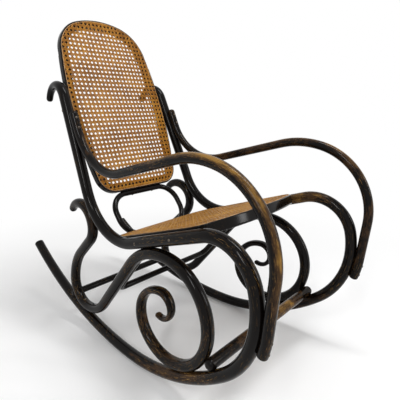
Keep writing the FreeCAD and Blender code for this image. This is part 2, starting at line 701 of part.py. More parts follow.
def screw(head, direction, length):
    """Slotted round-head wood screw with its head on a surface."""
    radius = SCREW_SHANK / 2.0
    rim = SCREW_HEAD / 2.0
    dome = (rim ** 2 + SCREW_DOME ** 2) / (2.0 * SCREW_DOME)
    tilt = math.asin(rim / dome) / 2.0
    crown = Vector(0.0, 0.0, -SCREW_DOME)
    shoulder = Vector(dome * math.sin(tilt), 0.0, dome - SCREW_DOME - dome * math.cos(tilt))
    corners = [Vector(0.0, 0.0, length), Vector(radius, 0.0, length - SCREW_POINT), Vector(radius, 0.0, 0.0),
               Vector(rim, 0.0, 0.0)]
    edges = [Part.makeLine(a, b) for a, b in zip(corners, corners[1:])]
    edges.append(Part.Arc(corners[-1], shoulder, crown).toShape())
    edges.append(Part.makeLine(crown, corners[0]))
    body = Part.Face(Part.Wire(edges)).revolve(Vector(0.0, 0.0, 0.0), Vector(0.0, 0.0, 1.0), 360.0)
    slot = Part.makeBox(SCREW_HEAD, SLOT_WIDTH, SLOT_DEPTH,
                        Vector(-SCREW_HEAD / 2.0, -SLOT_WIDTH / 2.0, -SCREW_DOME))
    body = body.cut(slot)
    body.Placement = FreeCAD.Placement(head, FreeCAD.Rotation(Vector(0.0, 0.0, 1.0), direction))
    return body


# The arm's plane runs from the middle of the bow to the middle of the post
arm_front_at = on_form(arm_end_form, sum(ARM_FRONT_SCREWS) / len(ARM_FRONT_SCREWS))
arm_rear_z = (ARM_TOP + arm_dip_z) / 2.0 - ARM_ROD
arm_rear_at = to_side(post_at(arm_rear_z))
arm_rear_y = post_y(arm_rear_z) - arm_contact / math.sin(post_slope)
arm_front_point = side_point(*arm_front_at)
arm_toe = math.degrees(math.asin((arm_front_point.x - arm_rear_at.x) / (arm_rear_y - arm_front_at[0])))
arm_half_width = arm_front_point.x + arm_front_at[0] * math.sin(math.radians(arm_toe))


def both_ways(head, direction, length):
    """A screw on the side at x > 0 and its mirror image."""
    mirrored_head = Vector(-head.x, head.y, head.z)
    mirrored_direction = Vector(-direction.x, direction.y, direction.z)
    return [screw(head, direction, length), screw(mirrored_head, mirrored_direction, length)]


def side_screws(head, direction, length, toe=TOE_IN, half_width=HALF_WIDTH):
    """A screw drawn in the plane x = 0, put in both side planes."""
    turned = FreeCAD.Rotation(Vector(0.0, 0.0, 1.0), toe).multVec(direction)
    return both_ways(to_side(head, toe, half_width), turned, length)


def between(first, second):
    """Direction from the middle of one form to the middle of another."""
    return (flat((second.y, second.z)) - flat((first.y, first.z))).normalize()


def bend_screws(form, way, rod, length):
    """Screws from inside a bend, out through its rod."""
    reach = abs(form.radius) - rod / 2.0 + HEAD_SEAT
    return side_screws(flat((form.y, form.z)) + way * reach, way, length)


def arm_screws(place, way):
    """Screws from the outside of the arm, through it at a point of its middle line."""
    return side_screws(place - way * (ARM_ROD / 2.0 - HEAD_SEAT), way, ARM_SCREW, arm_toe, arm_half_width)


def arm_front_screws():
    """Screws through the arm's front end into the bow."""
    screws = []
    for heading in ARM_FRONT_SCREWS:
        screws += arm_screws(flat(on_form(arm_end_form, heading)), flat(left(heading)))
    return screws


def arm_rear_screws():
    """Screws through the arm's rear end into the post."""
    screws = []
    for drop in ARM_REAR_SCREWS:
        z = ARM_TOP - drop
        place = flat((post_y(z) - arm_contact / math.sin(post_slope), z))
        screws += arm_screws(place, flat(left(POST_HEADING)) * -1.0)
    return screws


def scroll_runner_screws():
    """Screws from the scroll's loop and valley down into the runner."""
    return (bend_screws(loop_form, between(front_form, loop_form), SCROLL_ROD, SCROLL_SCREW)
            + bend_screws(valley_form, between(rear_form, valley_form), SCROLL_ROD, SCROLL_SCREW))


def scarf_screws():
    """Screws through both halves of the scarf joint."""
    screws = []
    for heading in SCARF_SCREWS:
        screws += bend_screws(bow_top_form, flat(left(heading)), MAIN_ROD, SCARF_SCREW)
    return screws


def seat_screws():
    """Screws through the rails into the seat frame."""
    screws = []
    for y in SEAT_SCREWS:
        head = Vector(MAIN_ROD / 2.0 - HEAD_SEAT, y, rail_height(y))
        screws += side_screws(head, Vector(-1.0, 0.0, 0.0), SEAT_SCREW)
    return screws


def back_screws():
    """Screws through the posts into the back frame."""
    head = post_fixing + Vector(MAIN_ROD / 2.0 - HEAD_SEAT, BACK_SCREW_SHIFT, 0.0)
    return both_ways(head, Vector(-1.0, 0.0, 0.0), BACK_SCREW)


def ring_screws():
    """Screws through the ring into the seat frame and the back frame."""
    let_in = RING_ROD - SEATING - HEAD_SEAT
    foot = seat_point(RING_SCREW_SEAT, SEAT_REAR + let_in, (seat_under + SEAT_ABOVE_RAIL) / 2.0)
    head = back_placement.multVec(Vector(RING_SCREW_BACK, -let_in, -BACK_FRAME_DEPTH / 2.0))
    into_seat = seat_placement.Rotation.multVec(Vector(0.0, -1.0, 0.0))
    into_back = back_placement.Rotation.multVec(Vector(0.0, 1.0, 0.0))
    return both_ways(foot, into_seat, RING_SCREW) + both_ways(head, into_back, RING_SCREW)


def stretcher_screws(place, form, rod):
    """Screws through a stretcher's ends into the runners."""
    way = (flat(place) - flat((form.y, form.z))).normalize()
    return side_screws(flat(place) - way * (rod / 2.0 - HEAD_SEAT), way, rod + STRETCHER_BITE)


def brace_screws():
    """Screws through the brace's legs into the scrolls."""
    head = on_limb(BRACE_HEIGHT + BRACE_SCREW_RISE) - Vector(BRACE_ROD / 2.0 - HEAD_SEAT, 0.0, 0.0)
    return both_ways(head, Vector(1.0, 0.0, 0.0), BRACE_SCREW)


def all_screws():
    """Every group of screws, with the pieces that its screws go through."""
    main = ["left_runner", "left_rail_and_post", "right_runner", "right_rail_and_post"]
    scrolls = ["left_scroll", "right_scroll"]
    arms = ["left_arm", "right_arm"]
    stretchers = ["front_stretcher", "rear_stretcher"]
    cross = (stretcher_screws(front_stretcher, front_form, FRONT_STRETCHER_ROD)
             + stretcher_screws(rear_stretcher, rear_form, REAR_STRETCHER_ROD))
    rail_up = flat(left(RAIL_HEADING))
    post_way = between(crotch_form, corner_form)
    return {
        "arm_front_screws": (arm_front_screws(), arms + main),
        "arm_rear_screws": (arm_rear_screws(), arms + main),
        "scroll_runner_screws": (scroll_runner_screws(), scrolls + main),
        "scroll_rail_screws": (bend_screws(arch_form, rail_up, SCROLL_ROD, SCROLL_SCREW), scrolls + main),
        "scroll_post_screws": (bend_screws(crotch_form, post_way, SCROLL_ROD, SCROLL_SCREW), scrolls + main),
        "scarf_screws": (scarf_screws(), main),
        "seat_screws": (seat_screws(), main + ["seat_frame"]),
        "back_screws": (back_screws(), main + ["back_frame"]),
        "ring_screws": (ring_screws(), ["back_ring", "back_frame", "seat_frame"]),
        "stretcher_screws": (cross, stretchers + main),
        "brace_screws": (brace_screws(), scrolls + ["seat_brace"]),
    }


def build():
    """Every piece of the chair by name."""
    nodes = {}
    sides = (("left", lambda shape: shape), ("right", mirrored))
    runner = on_side(runner_rod())
    rail_and_post = on_side(rail_and_post_rod()).cut(runner)
    scroll = on_side(scroll_rod()).cut([runner, rail_and_post])
    arm = on_side(arm_rod(), arm_toe, arm_half_width).cut([runner, rail_and_post])
    for side, place in sides:
        nodes[f"{side}_runner"] = place(runner)
        nodes[f"{side}_rail_and_post"] = place(rail_and_post)
        nodes[f"{side}_scroll"] = place(scroll)
        nodes[f"{side}_arm"] = place(arm)
    posts = [nodes["left_rail_and_post"], nodes["right_rail_and_post"]]
    runners = [nodes["left_runner"], nodes["right_runner"]]
    scrolls = [nodes["left_scroll"], nodes["right_scroll"]]

    seat = seat_forms()
    frame = frame_ring(seat, SEAT_FRAME_WIDTH, SEAT_FRAME_HEIGHT, SEAT_ABOVE_RAIL,
                       SEAT_FRAME_UNDER, SEAT_FRAME_OVER)
    nodes["seat_frame"] = frame.transformed(seat_placement.toMatrix()).cut(posts)
    cane = cane_panel(seat, SEAT_FRAME_WIDTH, SEAT_ABOVE_RAIL, SEAT_CANE_PITCH)
    nodes["seat_cane"] = cane.transformed(seat_placement.toMatrix())
    nodes["seat_spline"] = spline(seat, SEAT_ABOVE_RAIL).transformed(seat_placement.toMatrix())

    back = back_forms()
    frame = frame_ring(back, BACK_FRAME_WIDTH, BACK_FRAME_DEPTH, 0.0, BACK_FRAME_BEHIND, BACK_FRAME_FACE)
    nodes["back_frame"] = frame.transformed(back_placement.toMatrix()).cut(posts)
    cane = cane_panel(back, BACK_FRAME_WIDTH, 0.0, BACK_CANE_PITCH)
    nodes["back_cane"] = cane.transformed(back_placement.toMatrix())
    nodes["back_spline"] = spline(back, 0.0).transformed(back_placement.toMatrix())

    nodes["back_ring"] = ring_rod().cut([nodes["back_frame"], nodes["seat_frame"]])
    nodes["front_stretcher"] = stretcher(FRONT_STRETCHER_ROD, front_stretcher).cut(runners + scrolls)
    nodes["rear_stretcher"] = stretcher(REAR_STRETCHER_ROD, rear_stretcher).cut(runners + scrolls)
    nodes["seat_brace"] = brace_rod().cut(scrolls + [nodes["seat_frame"]])

    for name, (screws, pieces) in all_screws().items():
        group = Part.makeCompound(screws)
        for piece in pieces:
            if nodes[piece].distToShape(group)[0] < 1e-6:
                nodes[piece] = nodes[piece].cut(screws)
        nodes[name] = group
    return nodes


def centred(nodes):
    """The same pieces, moved so that the origin is on the floor under the middle of the chair."""
    boxes = [shape.optimalBoundingBox(False) for shape in nodes.values()]
    front = min(box.YMin for box in boxes)
    rear = max(box.YMax for box in boxes)
    shift = Vector(0.0, -(front + rear) / 2.0, 0.0)
    return {name: shape.translated(shift) for name, shape in nodes.items()}


def main():
    """Write every piece to its own file."""
    os.makedirs("parts", exist_ok=True)
    for name, shape in centred(build()).items():
        shape.exportStep(f"parts/{name}.step")


if __name__ == "__main__":
    main()
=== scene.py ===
"""Looks of a bentwood rocking chair with caned seat and back.

Lengths are metres in the frame of the solids: x to the sitter's left, y to the rear, z up.
The runners, frames and stretchers keep their solids. The arms, rails and scrolls are made
again with finer ends. All wood gets a worn ebonised finish whose grain runs along each rod,
and the caned seat and back are woven here, strand by strand.
"""

import json
import logging
import math
from dataclasses import dataclass, field
from enum import Enum
from typing import Any, Callable, Iterator, Optional, Sequence, Union

import bmesh
import bpy
from mathutils import Matrix, Vector
from mathutils.bvhtree import BVHTree

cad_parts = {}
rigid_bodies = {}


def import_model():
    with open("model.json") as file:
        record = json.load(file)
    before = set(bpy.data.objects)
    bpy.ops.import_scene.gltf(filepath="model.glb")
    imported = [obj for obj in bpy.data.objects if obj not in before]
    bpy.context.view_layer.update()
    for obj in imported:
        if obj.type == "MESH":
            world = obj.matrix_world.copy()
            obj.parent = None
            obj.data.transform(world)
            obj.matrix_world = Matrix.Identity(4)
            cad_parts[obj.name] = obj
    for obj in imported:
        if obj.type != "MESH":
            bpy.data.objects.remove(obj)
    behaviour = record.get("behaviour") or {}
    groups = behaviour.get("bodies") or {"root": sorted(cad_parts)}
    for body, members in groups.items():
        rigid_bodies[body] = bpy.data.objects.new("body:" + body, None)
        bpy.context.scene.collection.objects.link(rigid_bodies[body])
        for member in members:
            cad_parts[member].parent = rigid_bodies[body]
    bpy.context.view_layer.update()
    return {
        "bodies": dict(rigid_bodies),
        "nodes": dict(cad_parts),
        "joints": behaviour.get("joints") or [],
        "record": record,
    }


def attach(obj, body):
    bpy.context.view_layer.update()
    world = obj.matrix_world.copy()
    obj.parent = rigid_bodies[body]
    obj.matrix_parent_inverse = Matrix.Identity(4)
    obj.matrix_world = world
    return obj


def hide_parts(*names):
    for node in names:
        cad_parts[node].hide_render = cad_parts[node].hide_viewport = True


LOG = logging.getLogger("rocking_chair")
Colour = tuple[float, float, float, float]
Number = Union[int, float]
WHITE: Colour = (1.0, 1.0, 1.0, 1.0)
WOOD_SLOT = "ebonised_wood"
STEEL_SLOT = "screw_steel"
LEFT = 1.0
RIGHT = -1.0
SAME_POINT = 1e-6
SHARP_EDGE = math.radians(40.0)


def colour(red: int, green: int, blue: int) -> Colour:
    """Linear colour of a screen colour.

    Args:
        red: Red from 0 to 255.
        green: Green from 0 to 255.
        blue: Blue from 0 to 255.

    Returns:
        The colour as shaders take it.
    """
    def linear(part: int) -> float:
        """One part of the colour, straightened."""
        share = part / 255.0
        return share / 12.92 if share <= 0.04045 else ((share + 0.055) / 1.055) ** 2.4

    return linear(red), linear(green), linear(blue), 1.0


def eased(share: float) -> float:
    """A share from 0 to 1 that starts and ends gently."""
    return share * share * (3.0 - 2.0 * share)


@dataclass(frozen=True)
class Grain:
    """How fine a noise is, and how much it counts in a sum of noises."""

    scale: float
    detail: float = 2.0
    roughness: float = 0.5
    part: float = 1.0


@dataclass(frozen=True)
class Relief:
    """How high the bumps of a finish are, and how strongly they show."""

    depth: float
    strength: float


class Term:
    """A value in a node tree that is used in sums as a number is."""

    def __init__(self, bench: "Bench", socket: bpy.types.NodeSocket) -> None:
        """Wrap an output socket."""
        self.bench = bench
        self.socket = socket

    def _sum(self, operation: str, *others: Any) -> "Term":
        """Add a Math node of this value and others."""
        return self.bench.sums(operation, self, *others)

    def __add__(self, other: Any) -> "Term":
        """This plus another."""
        return self._sum("ADD", other)

    def __radd__(self, other: Any) -> "Term":
        """Another plus this."""
        return self._sum("ADD", other)

    def __sub__(self, other: Any) -> "Term":
        """This less another."""
        return self._sum("SUBTRACT", other)

    def __rsub__(self, other: Any) -> "Term":
        """Another less this."""
        return self.bench.sums("SUBTRACT", other, self)

    def __mul__(self, other: Any) -> "Term":
        """This times another."""
        return self._sum("MULTIPLY", other)

    def __rmul__(self, other: Any) -> "Term":
        """Another times this."""
        return self._sum("MULTIPLY", other)

    def __truediv__(self, other: Any) -> "Term":
        """This over another."""
        return self._sum("DIVIDE", other)

    def __rtruediv__(self, other: Any) -> "Term":
        """Another over this."""
        return self.bench.sums("DIVIDE", other, self)

    def __pow__(self, other: Any) -> "Term":
        """This to a power."""
        return self._sum("POWER", other)

    def __rpow__(self, other: Any) -> "Term":
        """Another to the power of this."""
        return self.bench.sums("POWER", other, self)

    def __abs__(self) -> "Term":
        """This without its sign."""
        return self._sum("ABSOLUTE")

    def __lt__(self, other: Any) -> "Term":
        """1 where this is less than another, and else 0."""
        return self._sum("LESS_THAN", other)

    def above(self, floor: Number) -> "Term":
        """This, but never under a number."""
        return self._sum("MAXIMUM", floor)

    def below(self, ceiling: Number) -> "Term":
        """This, but never over a number."""
        return self._sum("MINIMUM", ceiling)

    def step(self, start: Number, end: Number) -> "Term":
        """A smooth rise from 0 at a start to 1 at an end."""
        node = self.bench.add("ShaderNodeMapRange", {"interpolation_type": "SMOOTHSTEP"},
                              {"Value": self, "From Min": start, "From Max": end})
        return Term(self.bench, node.outputs["Result"])


class Bench:
    """A node tree that is being built."""

    def __init__(self, tree: bpy.types.NodeTree) -> None:
        """Take up a tree."""
        self.tree = tree

    @staticmethod
    def find(sockets: Any, key: Union[str, int]) -> bpy.types.NodeSocket:
        """A socket by its place, identifier or name.

        Args:
            sockets: The inputs or outputs of a node.
            key: Its place in the list, its identifier or its name.

        Returns:
            The socket.
        """
        if isinstance(key, int):
            return sockets[key]
        for socket in sockets:
            if socket.identifier == key:
                return socket
        return next(socket for socket in sockets if socket.name == key and socket.enabled)

    def add(self, kind: str, settings: Optional[dict] = None,
            values: Optional[dict] = None) -> bpy.types.Node:
        """Add a node.

        Args:
            kind: The node's type.
            settings: Its settings, set first. A ramp's stops go under the name stops.
            values: Values or links by socket.

        Returns:
            The node.
        """
        node = self.tree.nodes.new(kind)
        for name, value in (settings or {}).items():
            if name == "stops":
                self._set_stops(node.color_ramp, value)
            else:
                setattr(node, name, value)
        for key, value in (values or {}).items():
            socket = self.find(node.inputs, key)
            if isinstance(value, Term):
                self.tree.links.new(value.socket, socket)
            else:
                socket.default_value = value
        return node

    @staticmethod
    def _set_stops(ramp: bpy.types.ColorRamp, stops: Sequence[tuple[float, Colour]]) -> None:
        """Give a ramp its stops."""
        while len(ramp.elements) < len(stops):
            ramp.elements.new(0.5)
        for element, (place, tone) in zip(ramp.elements, stops):
            element.position = place
            element.color = tone

    def out(self, node: bpy.types.Node, key: Union[str, int] = 0) -> Term:
        """An output of a node as a value."""
        return Term(self, self.find(node.outputs, key))

    def made(self, kind: str, settings: Optional[dict] = None, values: Optional[dict] = None,
             key: Union[str, int] = 0) -> Term:
        """An output of a new node as a value."""
        return self.out(self.add(kind, settings, values), key)

    def sums(self, operation: str, *parts: Any) -> Term:
        """A Math node of some values and numbers."""
        return self.made("ShaderNodeMath", {"operation": operation}, dict(enumerate(parts)))

    def vector(self, x: Any, y: Any, z: Any) -> Term:
        """A vector of three values."""
        return self.made("ShaderNodeCombineXYZ", values={0: x, 1: y, 2: z})

    def parts(self, vector: Term) -> tuple[Term, Term, Term]:
        """The three values of a vector."""
        node = self.add("ShaderNodeSeparateXYZ", values={0: vector})
        return self.out(node, 0), self.out(node, 1), self.out(node, 2)

    def blend(self, share: Any, first: Any, second: Any) -> Term:
        """A colour between two colours."""
        return self.made("ShaderNodeMix", {"data_type": "RGBA"},
                         {"Factor_Float": share, "A_Color": first, "B_Color": second},
                         "Result_Color")

    def choose(self, share: Any, first: Any, second: Any) -> Term:
        """A value between two values."""
        return self.made("ShaderNodeMix", {"data_type": "FLOAT"},
                         {"Factor_Float": share, "A_Float": first, "B_Float": second},
                         "Result_Float")

    def noise(self, vector: Term, grain: Grain) -> Term:
        """Smooth noise round 0.5."""
        return self.made("ShaderNodeTexNoise", {"noise_dimensions": "3D"},
                         {"Vector": vector, "Scale": grain.scale, "Detail": grain.detail,
                          "Roughness": grain.roughness}, "Fac")

    def object_point(self) -> Term:
        """The point that is looked at, in the piece's own frame."""
        return self.made("ShaderNodeTexCoord", key="Object")


def new_material(name: str) -> tuple[bpy.types.Material, Bench]:
    """An empty material and its tree."""
    material = bpy.data.materials.new(name)
    material.use_nodes = True
    material.node_tree.nodes.clear()
    return material, Bench(material.node_tree)


def surface(bench: Bench, settings: dict, height: Term, relief: Relief) -> None:
    """End a material in one shader.

    Args:
        bench: The material's tree.
        settings: Values or links of the shader's sockets.
        height: What its bumps follow.
        relief: The bumps' size.
    """
    normal = bench.made("ShaderNodeBump", values={"Height": height, "Distance": relief.depth,
                                                  "Strength": relief.strength})
    shader = bench.made("ShaderNodeBsdfPrincipled", values={**settings, "Normal": normal})
    bench.add("ShaderNodeOutputMaterial", values={"Surface": shader})


def put_in_place(name: str, mesh: bpy.types.Mesh, node: str, slot: str) -> bpy.types.Object:
    """Put a finished mesh in place of a solid.

    Args:
        name: The new piece's name.
        mesh: Its mesh, with its place in it and its finish on it.
        node: The solid that it stands for.
        slot: Not used.

    Returns:
        The piece.
    """
    piece = bpy.data.objects.new(name, mesh)
    bpy.context.scene.collection.objects.link(piece)
    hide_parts(node)
    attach(piece, "root")
    return piece


@dataclass(frozen=True)
class Bend:
    """A bent stretch of a rod in its side plane, positive radius for a turn to the left."""

    y: float
    z: float
    radius: float
    start: float
    end: float

    def length(self) -> float:
        """Length of the stretch."""
        return math.radians(self.end - self.start) * self.radius

    def at(self, travelled: float) -> tuple[float, float, float]:
        """Point and heading some way along the stretch."""
        heading = math.radians(self.start) + travelled / self.radius
        return (self.y + self.radius * math.sin(heading),
                self.z - self.radius * math.cos(heading), heading)

    def lay(self, bench: Bench, y: Term, z: Term, travelled: float) -> tuple[Term, Term, Term]:
        """Where a point is, as seen from this stretch.

        Args:
            bench: The material's tree.
            y: The point's y.
            z: The point's z.
            travelled: Length of the rod before this stretch.

        Returns:
            How far the point is from the stretch, how far to its left, and how far along
            the rod.
        """
        side = math.copysign(1.0, self.radius)
        middle = math.radians((self.start + self.end) / 2.0) - side * math.pi / 2.0
        dy = y - self.y
        dz = z - self.z
        ahead = dy * math.cos(middle) + dz * math.sin(middle)
        across = dz * math.cos(middle) - dy * math.sin(middle)
        angle = bench.sums("ARCTAN2", across, ahead)
        off = (bench.sums("SQRT", ahead * ahead + across * across) - abs(self.radius)) * -side
        half = abs(math.radians(self.end - self.start)) / 2.0
        past = (abs(angle) - half).above(0.0) * abs(self.radius)
        along = angle * self.radius + (travelled + self.length() / 2.0)
        return abs(off) + past, off, along


@dataclass(frozen=True)
class Run:
    """A straight stretch of a rod in its side plane."""

    start_y: float
    start_z: float
    end_y: float
    end_z: float

    def at(self, travelled: float) -> tuple[float, float, float]:
        """Point and heading some way along the stretch."""
        share = travelled / self.length()
        heading = math.atan2(self.end_z - self.start_z, self.end_y - self.start_y)
        return (self.start_y + share * (self.end_y - self.start_y),
                self.start_z + share * (self.end_z - self.start_z), heading)

    def length(self) -> float:
        """Length of the stretch."""
        return math.dist((self.start_y, self.start_z), (self.end_y, self.end_z))

    def lay(self, bench: Bench, y: Term, z: Term, travelled: float) -> tuple[Term, Term, Term]:
        """Where a point is, as a bend's method of this name says."""
        length = self.length()
        way_y = (self.end_y - self.start_y) / length
        way_z = (self.end_z - self.start_z) / length
        dy = y - (self.start_y + self.end_y) / 2.0
        dz = z - (self.start_z + self.end_z) / 2.0
        forward = dy * way_y + dz * way_z
        off = dz * way_y - dy * way_z
        past = (abs(forward) - length / 2.0).above(0.0)
        return abs(off) + past, off, forward + (travelled + length / 2.0)


Stretch = Union[Bend, Run]

RUNNER = (
    Bend(-0.0555, 1.0770, -1.0600, 216.0, 180.0),
    Bend(-0.0555, 0.6170, -0.6000, 180.0, 141.0),
    Bend(-0.2801, 0.3396, -0.2430, 141.0, 77.0),
    Bend(-0.4010, 0.3675, -0.1190, 77.0, -18.4),
)
RAIL_AND_POST = (
    Bend(-0.2801, 0.3396, -0.2430, 104.0, 77.0),
    Bend(-0.4010, 0.3675, -0.1190, 77.0, -18.4),
    Run(-0.3634, 0.4804, -0.0863, 0.3882),
    Bend(-0.0295, 0.5590, 0.1800, -18.4, 67.4),
    Run(0.1367, 0.4898, 0.2637, 0.7949),
    Bend(0.3186, 0.7720, -0.0595, 67.4, -84.0),
)
SCROLL = (
    Bend(0.1904, 0.3880, 0.0670, 117.0, 318.1),
    Run(0.1456, 0.3381, 0.2101, 0.2803),
    Bend(0.0839, 0.1396, -0.1890, 318.1, 279.0),
    Bend(0.1965, 0.1574, -0.0750, 279.0, 184.0),
    Bend(0.1921, 0.2202, -0.1380, 184.0, 130.4),
    Run(0.0871, 0.1307, -0.0764, 0.3225),
    Bend(-0.2225, 0.1979, 0.1920, 130.4, 192.4),
    Bend(-0.2313, 0.2382, 0.1508, 192.4, 356.0),
    Bend(-0.2333, 0.2094, 0.1220, -4.0, 50.0),
    Bend(-0.2119, 0.1914, 0.0940, 50.0, 180.0),
    Bend(-0.2119, 0.2464, 0.0390, 180.0, 393.0),
)
ARM = (
    Run(0.2123, 0.7470, 0.1880, 0.6885),
    Bend(0.0163, 0.7600, -0.1860, 247.4, 164.8),
    Run(-0.0323, 0.5805, -0.2729, 0.6456),
    Bend(-0.3435, 0.3850, 0.2700, 164.8, 194.0),
    Bend(-0.3597, 0.4500, 0.2030, 194.0, 275.3),
    Run(-0.5618, 0.4313, -0.5510, 0.3144),
    Bend(-0.2801, 0.3396, 0.2720, 275.3, 297.0),
)


@dataclass(frozen=True)
class WornPlace:
    """A place where hands and feet have rubbed the finish, or one that they spared.

    It is worn in full within the core share of its reach. A negative amount spares it.
    """

    x: float
    y: float
    z: float
    reach: float
    amount: float
    core: float = 0.15


NEAR_BOW_PLACES = (
    WornPlace(-0.210, 0.25, 0.75, 0.42, -0.40),
    WornPlace(-0.262, -0.33, 0.49, 0.12, 0.15),
    WornPlace(-0.255, -0.28, 0.04, 0.30, 0.42),
)
FAR_BOW_PLACES = (
    WornPlace(0.210, 0.25, 0.75, 0.42, -0.40),
    WornPlace(0.262, -0.36, 0.50, 0.15, 0.75),
    WornPlace(0.255, -0.35, 0.08, 0.24, 0.35),
)


NEAR_LOOP_PLACES = (
    WornPlace(-0.240, -0.22, 0.08, 0.17, 0.35),
    WornPlace(-0.240, -0.12, 0.22, 0.12, 0.25),
    WornPlace(-0.240, -0.22, 0.27, 0.09, 0.30),
)
NEAR_ARM_PLACES = (
    WornPlace(-0.270, -0.34, 0.65, 0.34, 0.95),
    WornPlace(-0.275, -0.56, 0.40, 0.28, 0.62),
)
FAR_ARM_PLACES = (
    WornPlace(0.270, -0.38, 0.64, 0.36, 0.60),
)
FOOT_PLACES = (
    WornPlace(0.03, -0.394, 0.17, 0.24, 0.75),
)


@dataclass(frozen=True)
class EbonisedWood:
    """Glossy near-black finish on bent beech, rubbed through to golden brown.

    The grain runs along the rod where its stretches are given, and else along x, y or z. A
    band keeps the worn places to one side of the rod: its numbers weigh the rod's left in its
    side plane, and x. Each pair of numbers named after a colour says from which rubbing to
    which that colour comes in.
    """

    name: str
    stretches: tuple[Stretch, ...] = ()
    grain: tuple[float, float, float] = (0.06, 1.0, 1.0)
    wear: float = 0.0
    band: tuple[float, float] = (0.0, 0.0)
    rod_radius: float = 0.017
    flecks: float = 0.6
    places: tuple[WornPlace, ...] = ()
    black: Colour = colour(11, 8, 7)
    brown: Colour = colour(62, 43, 25)
    gold: Colour = colour(140, 104, 48)
    scratch: Colour = colour(158, 122, 66)
    gloss: float = 0.13
    specular: float = 0.11
    fibre_length: float = 0.06
    patch_length: float = 0.4
    band_edge: float = 3.0
    broad: Grain = Grain(26.0, 3.0, 0.6, part=1.4)
    mottled: Grain = Grain(75.0, 4.0, 0.7, part=1.0)
    streaky: Grain = Grain(620.0, 3.0, 0.65, part=0.9)
    fine: Grain = Grain(1300.0, 2.0, 0.6, part=0.9)
    scratchy: Grain = Grain(15.0)
    browned: tuple[float, float] = (0.20, 0.62)
    gilded: tuple[float, float] = (0.62, 1.15)
    least_gold: float = 0.55
    scratched: tuple[float, float] = (0.44, 0.60)
    scratched_by_wear: float = 0.3
    flecked: tuple[float, float] = (0.575, 0.625)
    fleck_streaks: float = 0.65
    least_fleck: float = 0.75
    rough_change: float = 0.10
    streak_height: float = 0.5
    fine_height: float = 0.25
    worn_depth: float = 0.3
    relief: Relief = Relief(0.0003, 0.08)

    def _laid(self, bench: Bench, point: Term) -> tuple[Term, Term, Term]:
        """Across, off and along coordinates of a point of the rod."""
        x, y, z = bench.parts(point)
        best: Optional[Term] = None
        off: Any = y
        along: Any = z
        travelled = 0.0
        for stretch in self.stretches:
            miss, this_off, this_along = stretch.lay(bench, y, z, travelled)
            travelled += stretch.length()
            if best is None:
                best, off, along = miss, this_off, this_along
                continue
            nearer = miss < best
            off = bench.choose(nearer, off, this_off)
            along = bench.choose(nearer, along, this_along)
            best = bench.sums("MINIMUM", best, miss)
        return x, off, along

    def _place_wear(self, bench: Bench, point: Term) -> Any:
        """How much the worn places add at a point."""
        total: Any = 0.0
        for place in self.places:
            away = bench.made("ShaderNodeVectorMath", {"operation": "DISTANCE"},
                              {0: point, 1: (place.x, place.y, place.z)}, "Value")
            total = total + away.step(place.reach, place.core * place.reach) * place.amount
        return total

    def _spaces(self, bench: Bench) -> tuple[Term, Term, Any]:
        """Lay the finish along the wood.

        Args:
            bench: The material's tree.

        Returns:
            A space drawn out along the fibres, one for patches, and how worn the point is.
        """
        point = bench.object_point()
        worn = self._place_wear(bench, point)
        if not self.stretches:
            x, y, z = bench.parts(point)
            fibre = bench.vector(x * self.grain[0], y * self.grain[1], z * self.grain[2])
            return fibre, point, worn + self.wear
        x, off, along = self._laid(bench, point)
        if any(self.band):
            facing = bench.parts(bench.made("ShaderNodeNewGeometry", key="Normal"))[0]
            towards = off * (self.band[0] / self.rod_radius) + facing * self.band[1]
            worn = worn * towards.above(0.0) ** self.band_edge
        fibre = bench.vector(x, off, along * self.fibre_length)
        return fibre, bench.vector(x, off, along * self.patch_length), worn + self.wear

    def make(self) -> bpy.types.Material:
        """Build the finish.

        Returns:
            The material.
        """
        material, bench = new_material(self.name)
        fibre, patch, wear = self._spaces(bench)
        broad = bench.noise(patch, self.broad)
        mottle = bench.noise(patch, self.mottled)
        streaks = bench.noise(fibre, self.streaky)
        fine = bench.noise(fibre, self.fine)
        rubbed = (wear + (broad - 0.5) * self.broad.part + (mottle - 0.5) * self.mottled.part
                  + (streaks - 0.5) * self.streaky.part)
        brownness = rubbed.step(*self.browned)
        goldness = rubbed.step(*self.gilded) * (self.least_gold + self.fine.part * fine).below(1.0)
        roughly = bench.noise(patch, self.scratchy) + wear * self.scratched_by_wear
        specks = streaks * self.fleck_streaks + fine * (1.0 - self.fleck_streaks)
        fleck = specks.step(*self.flecked) * roughly.step(*self.scratched) * self.flecks
        shown = fleck * (self.least_fleck + (1.0 - self.least_fleck) * brownness)
        tint = bench.blend(brownness, self.black, self.brown)
        tint = bench.blend(goldness, tint, self.gold)
        tint = bench.blend(shown, tint, self.scratch)
        rough = self.gloss + (brownness + (broad - 0.5) + (fine - 0.5)) * self.rough_change
        height = (streaks * self.streak_height + fine * self.fine_height
                  - brownness * self.worn_depth)
        surface(bench, {"Base Color": tint, "Roughness": rough,
                        "Specular IOR Level": self.specular}, height, self.relief)
        return material


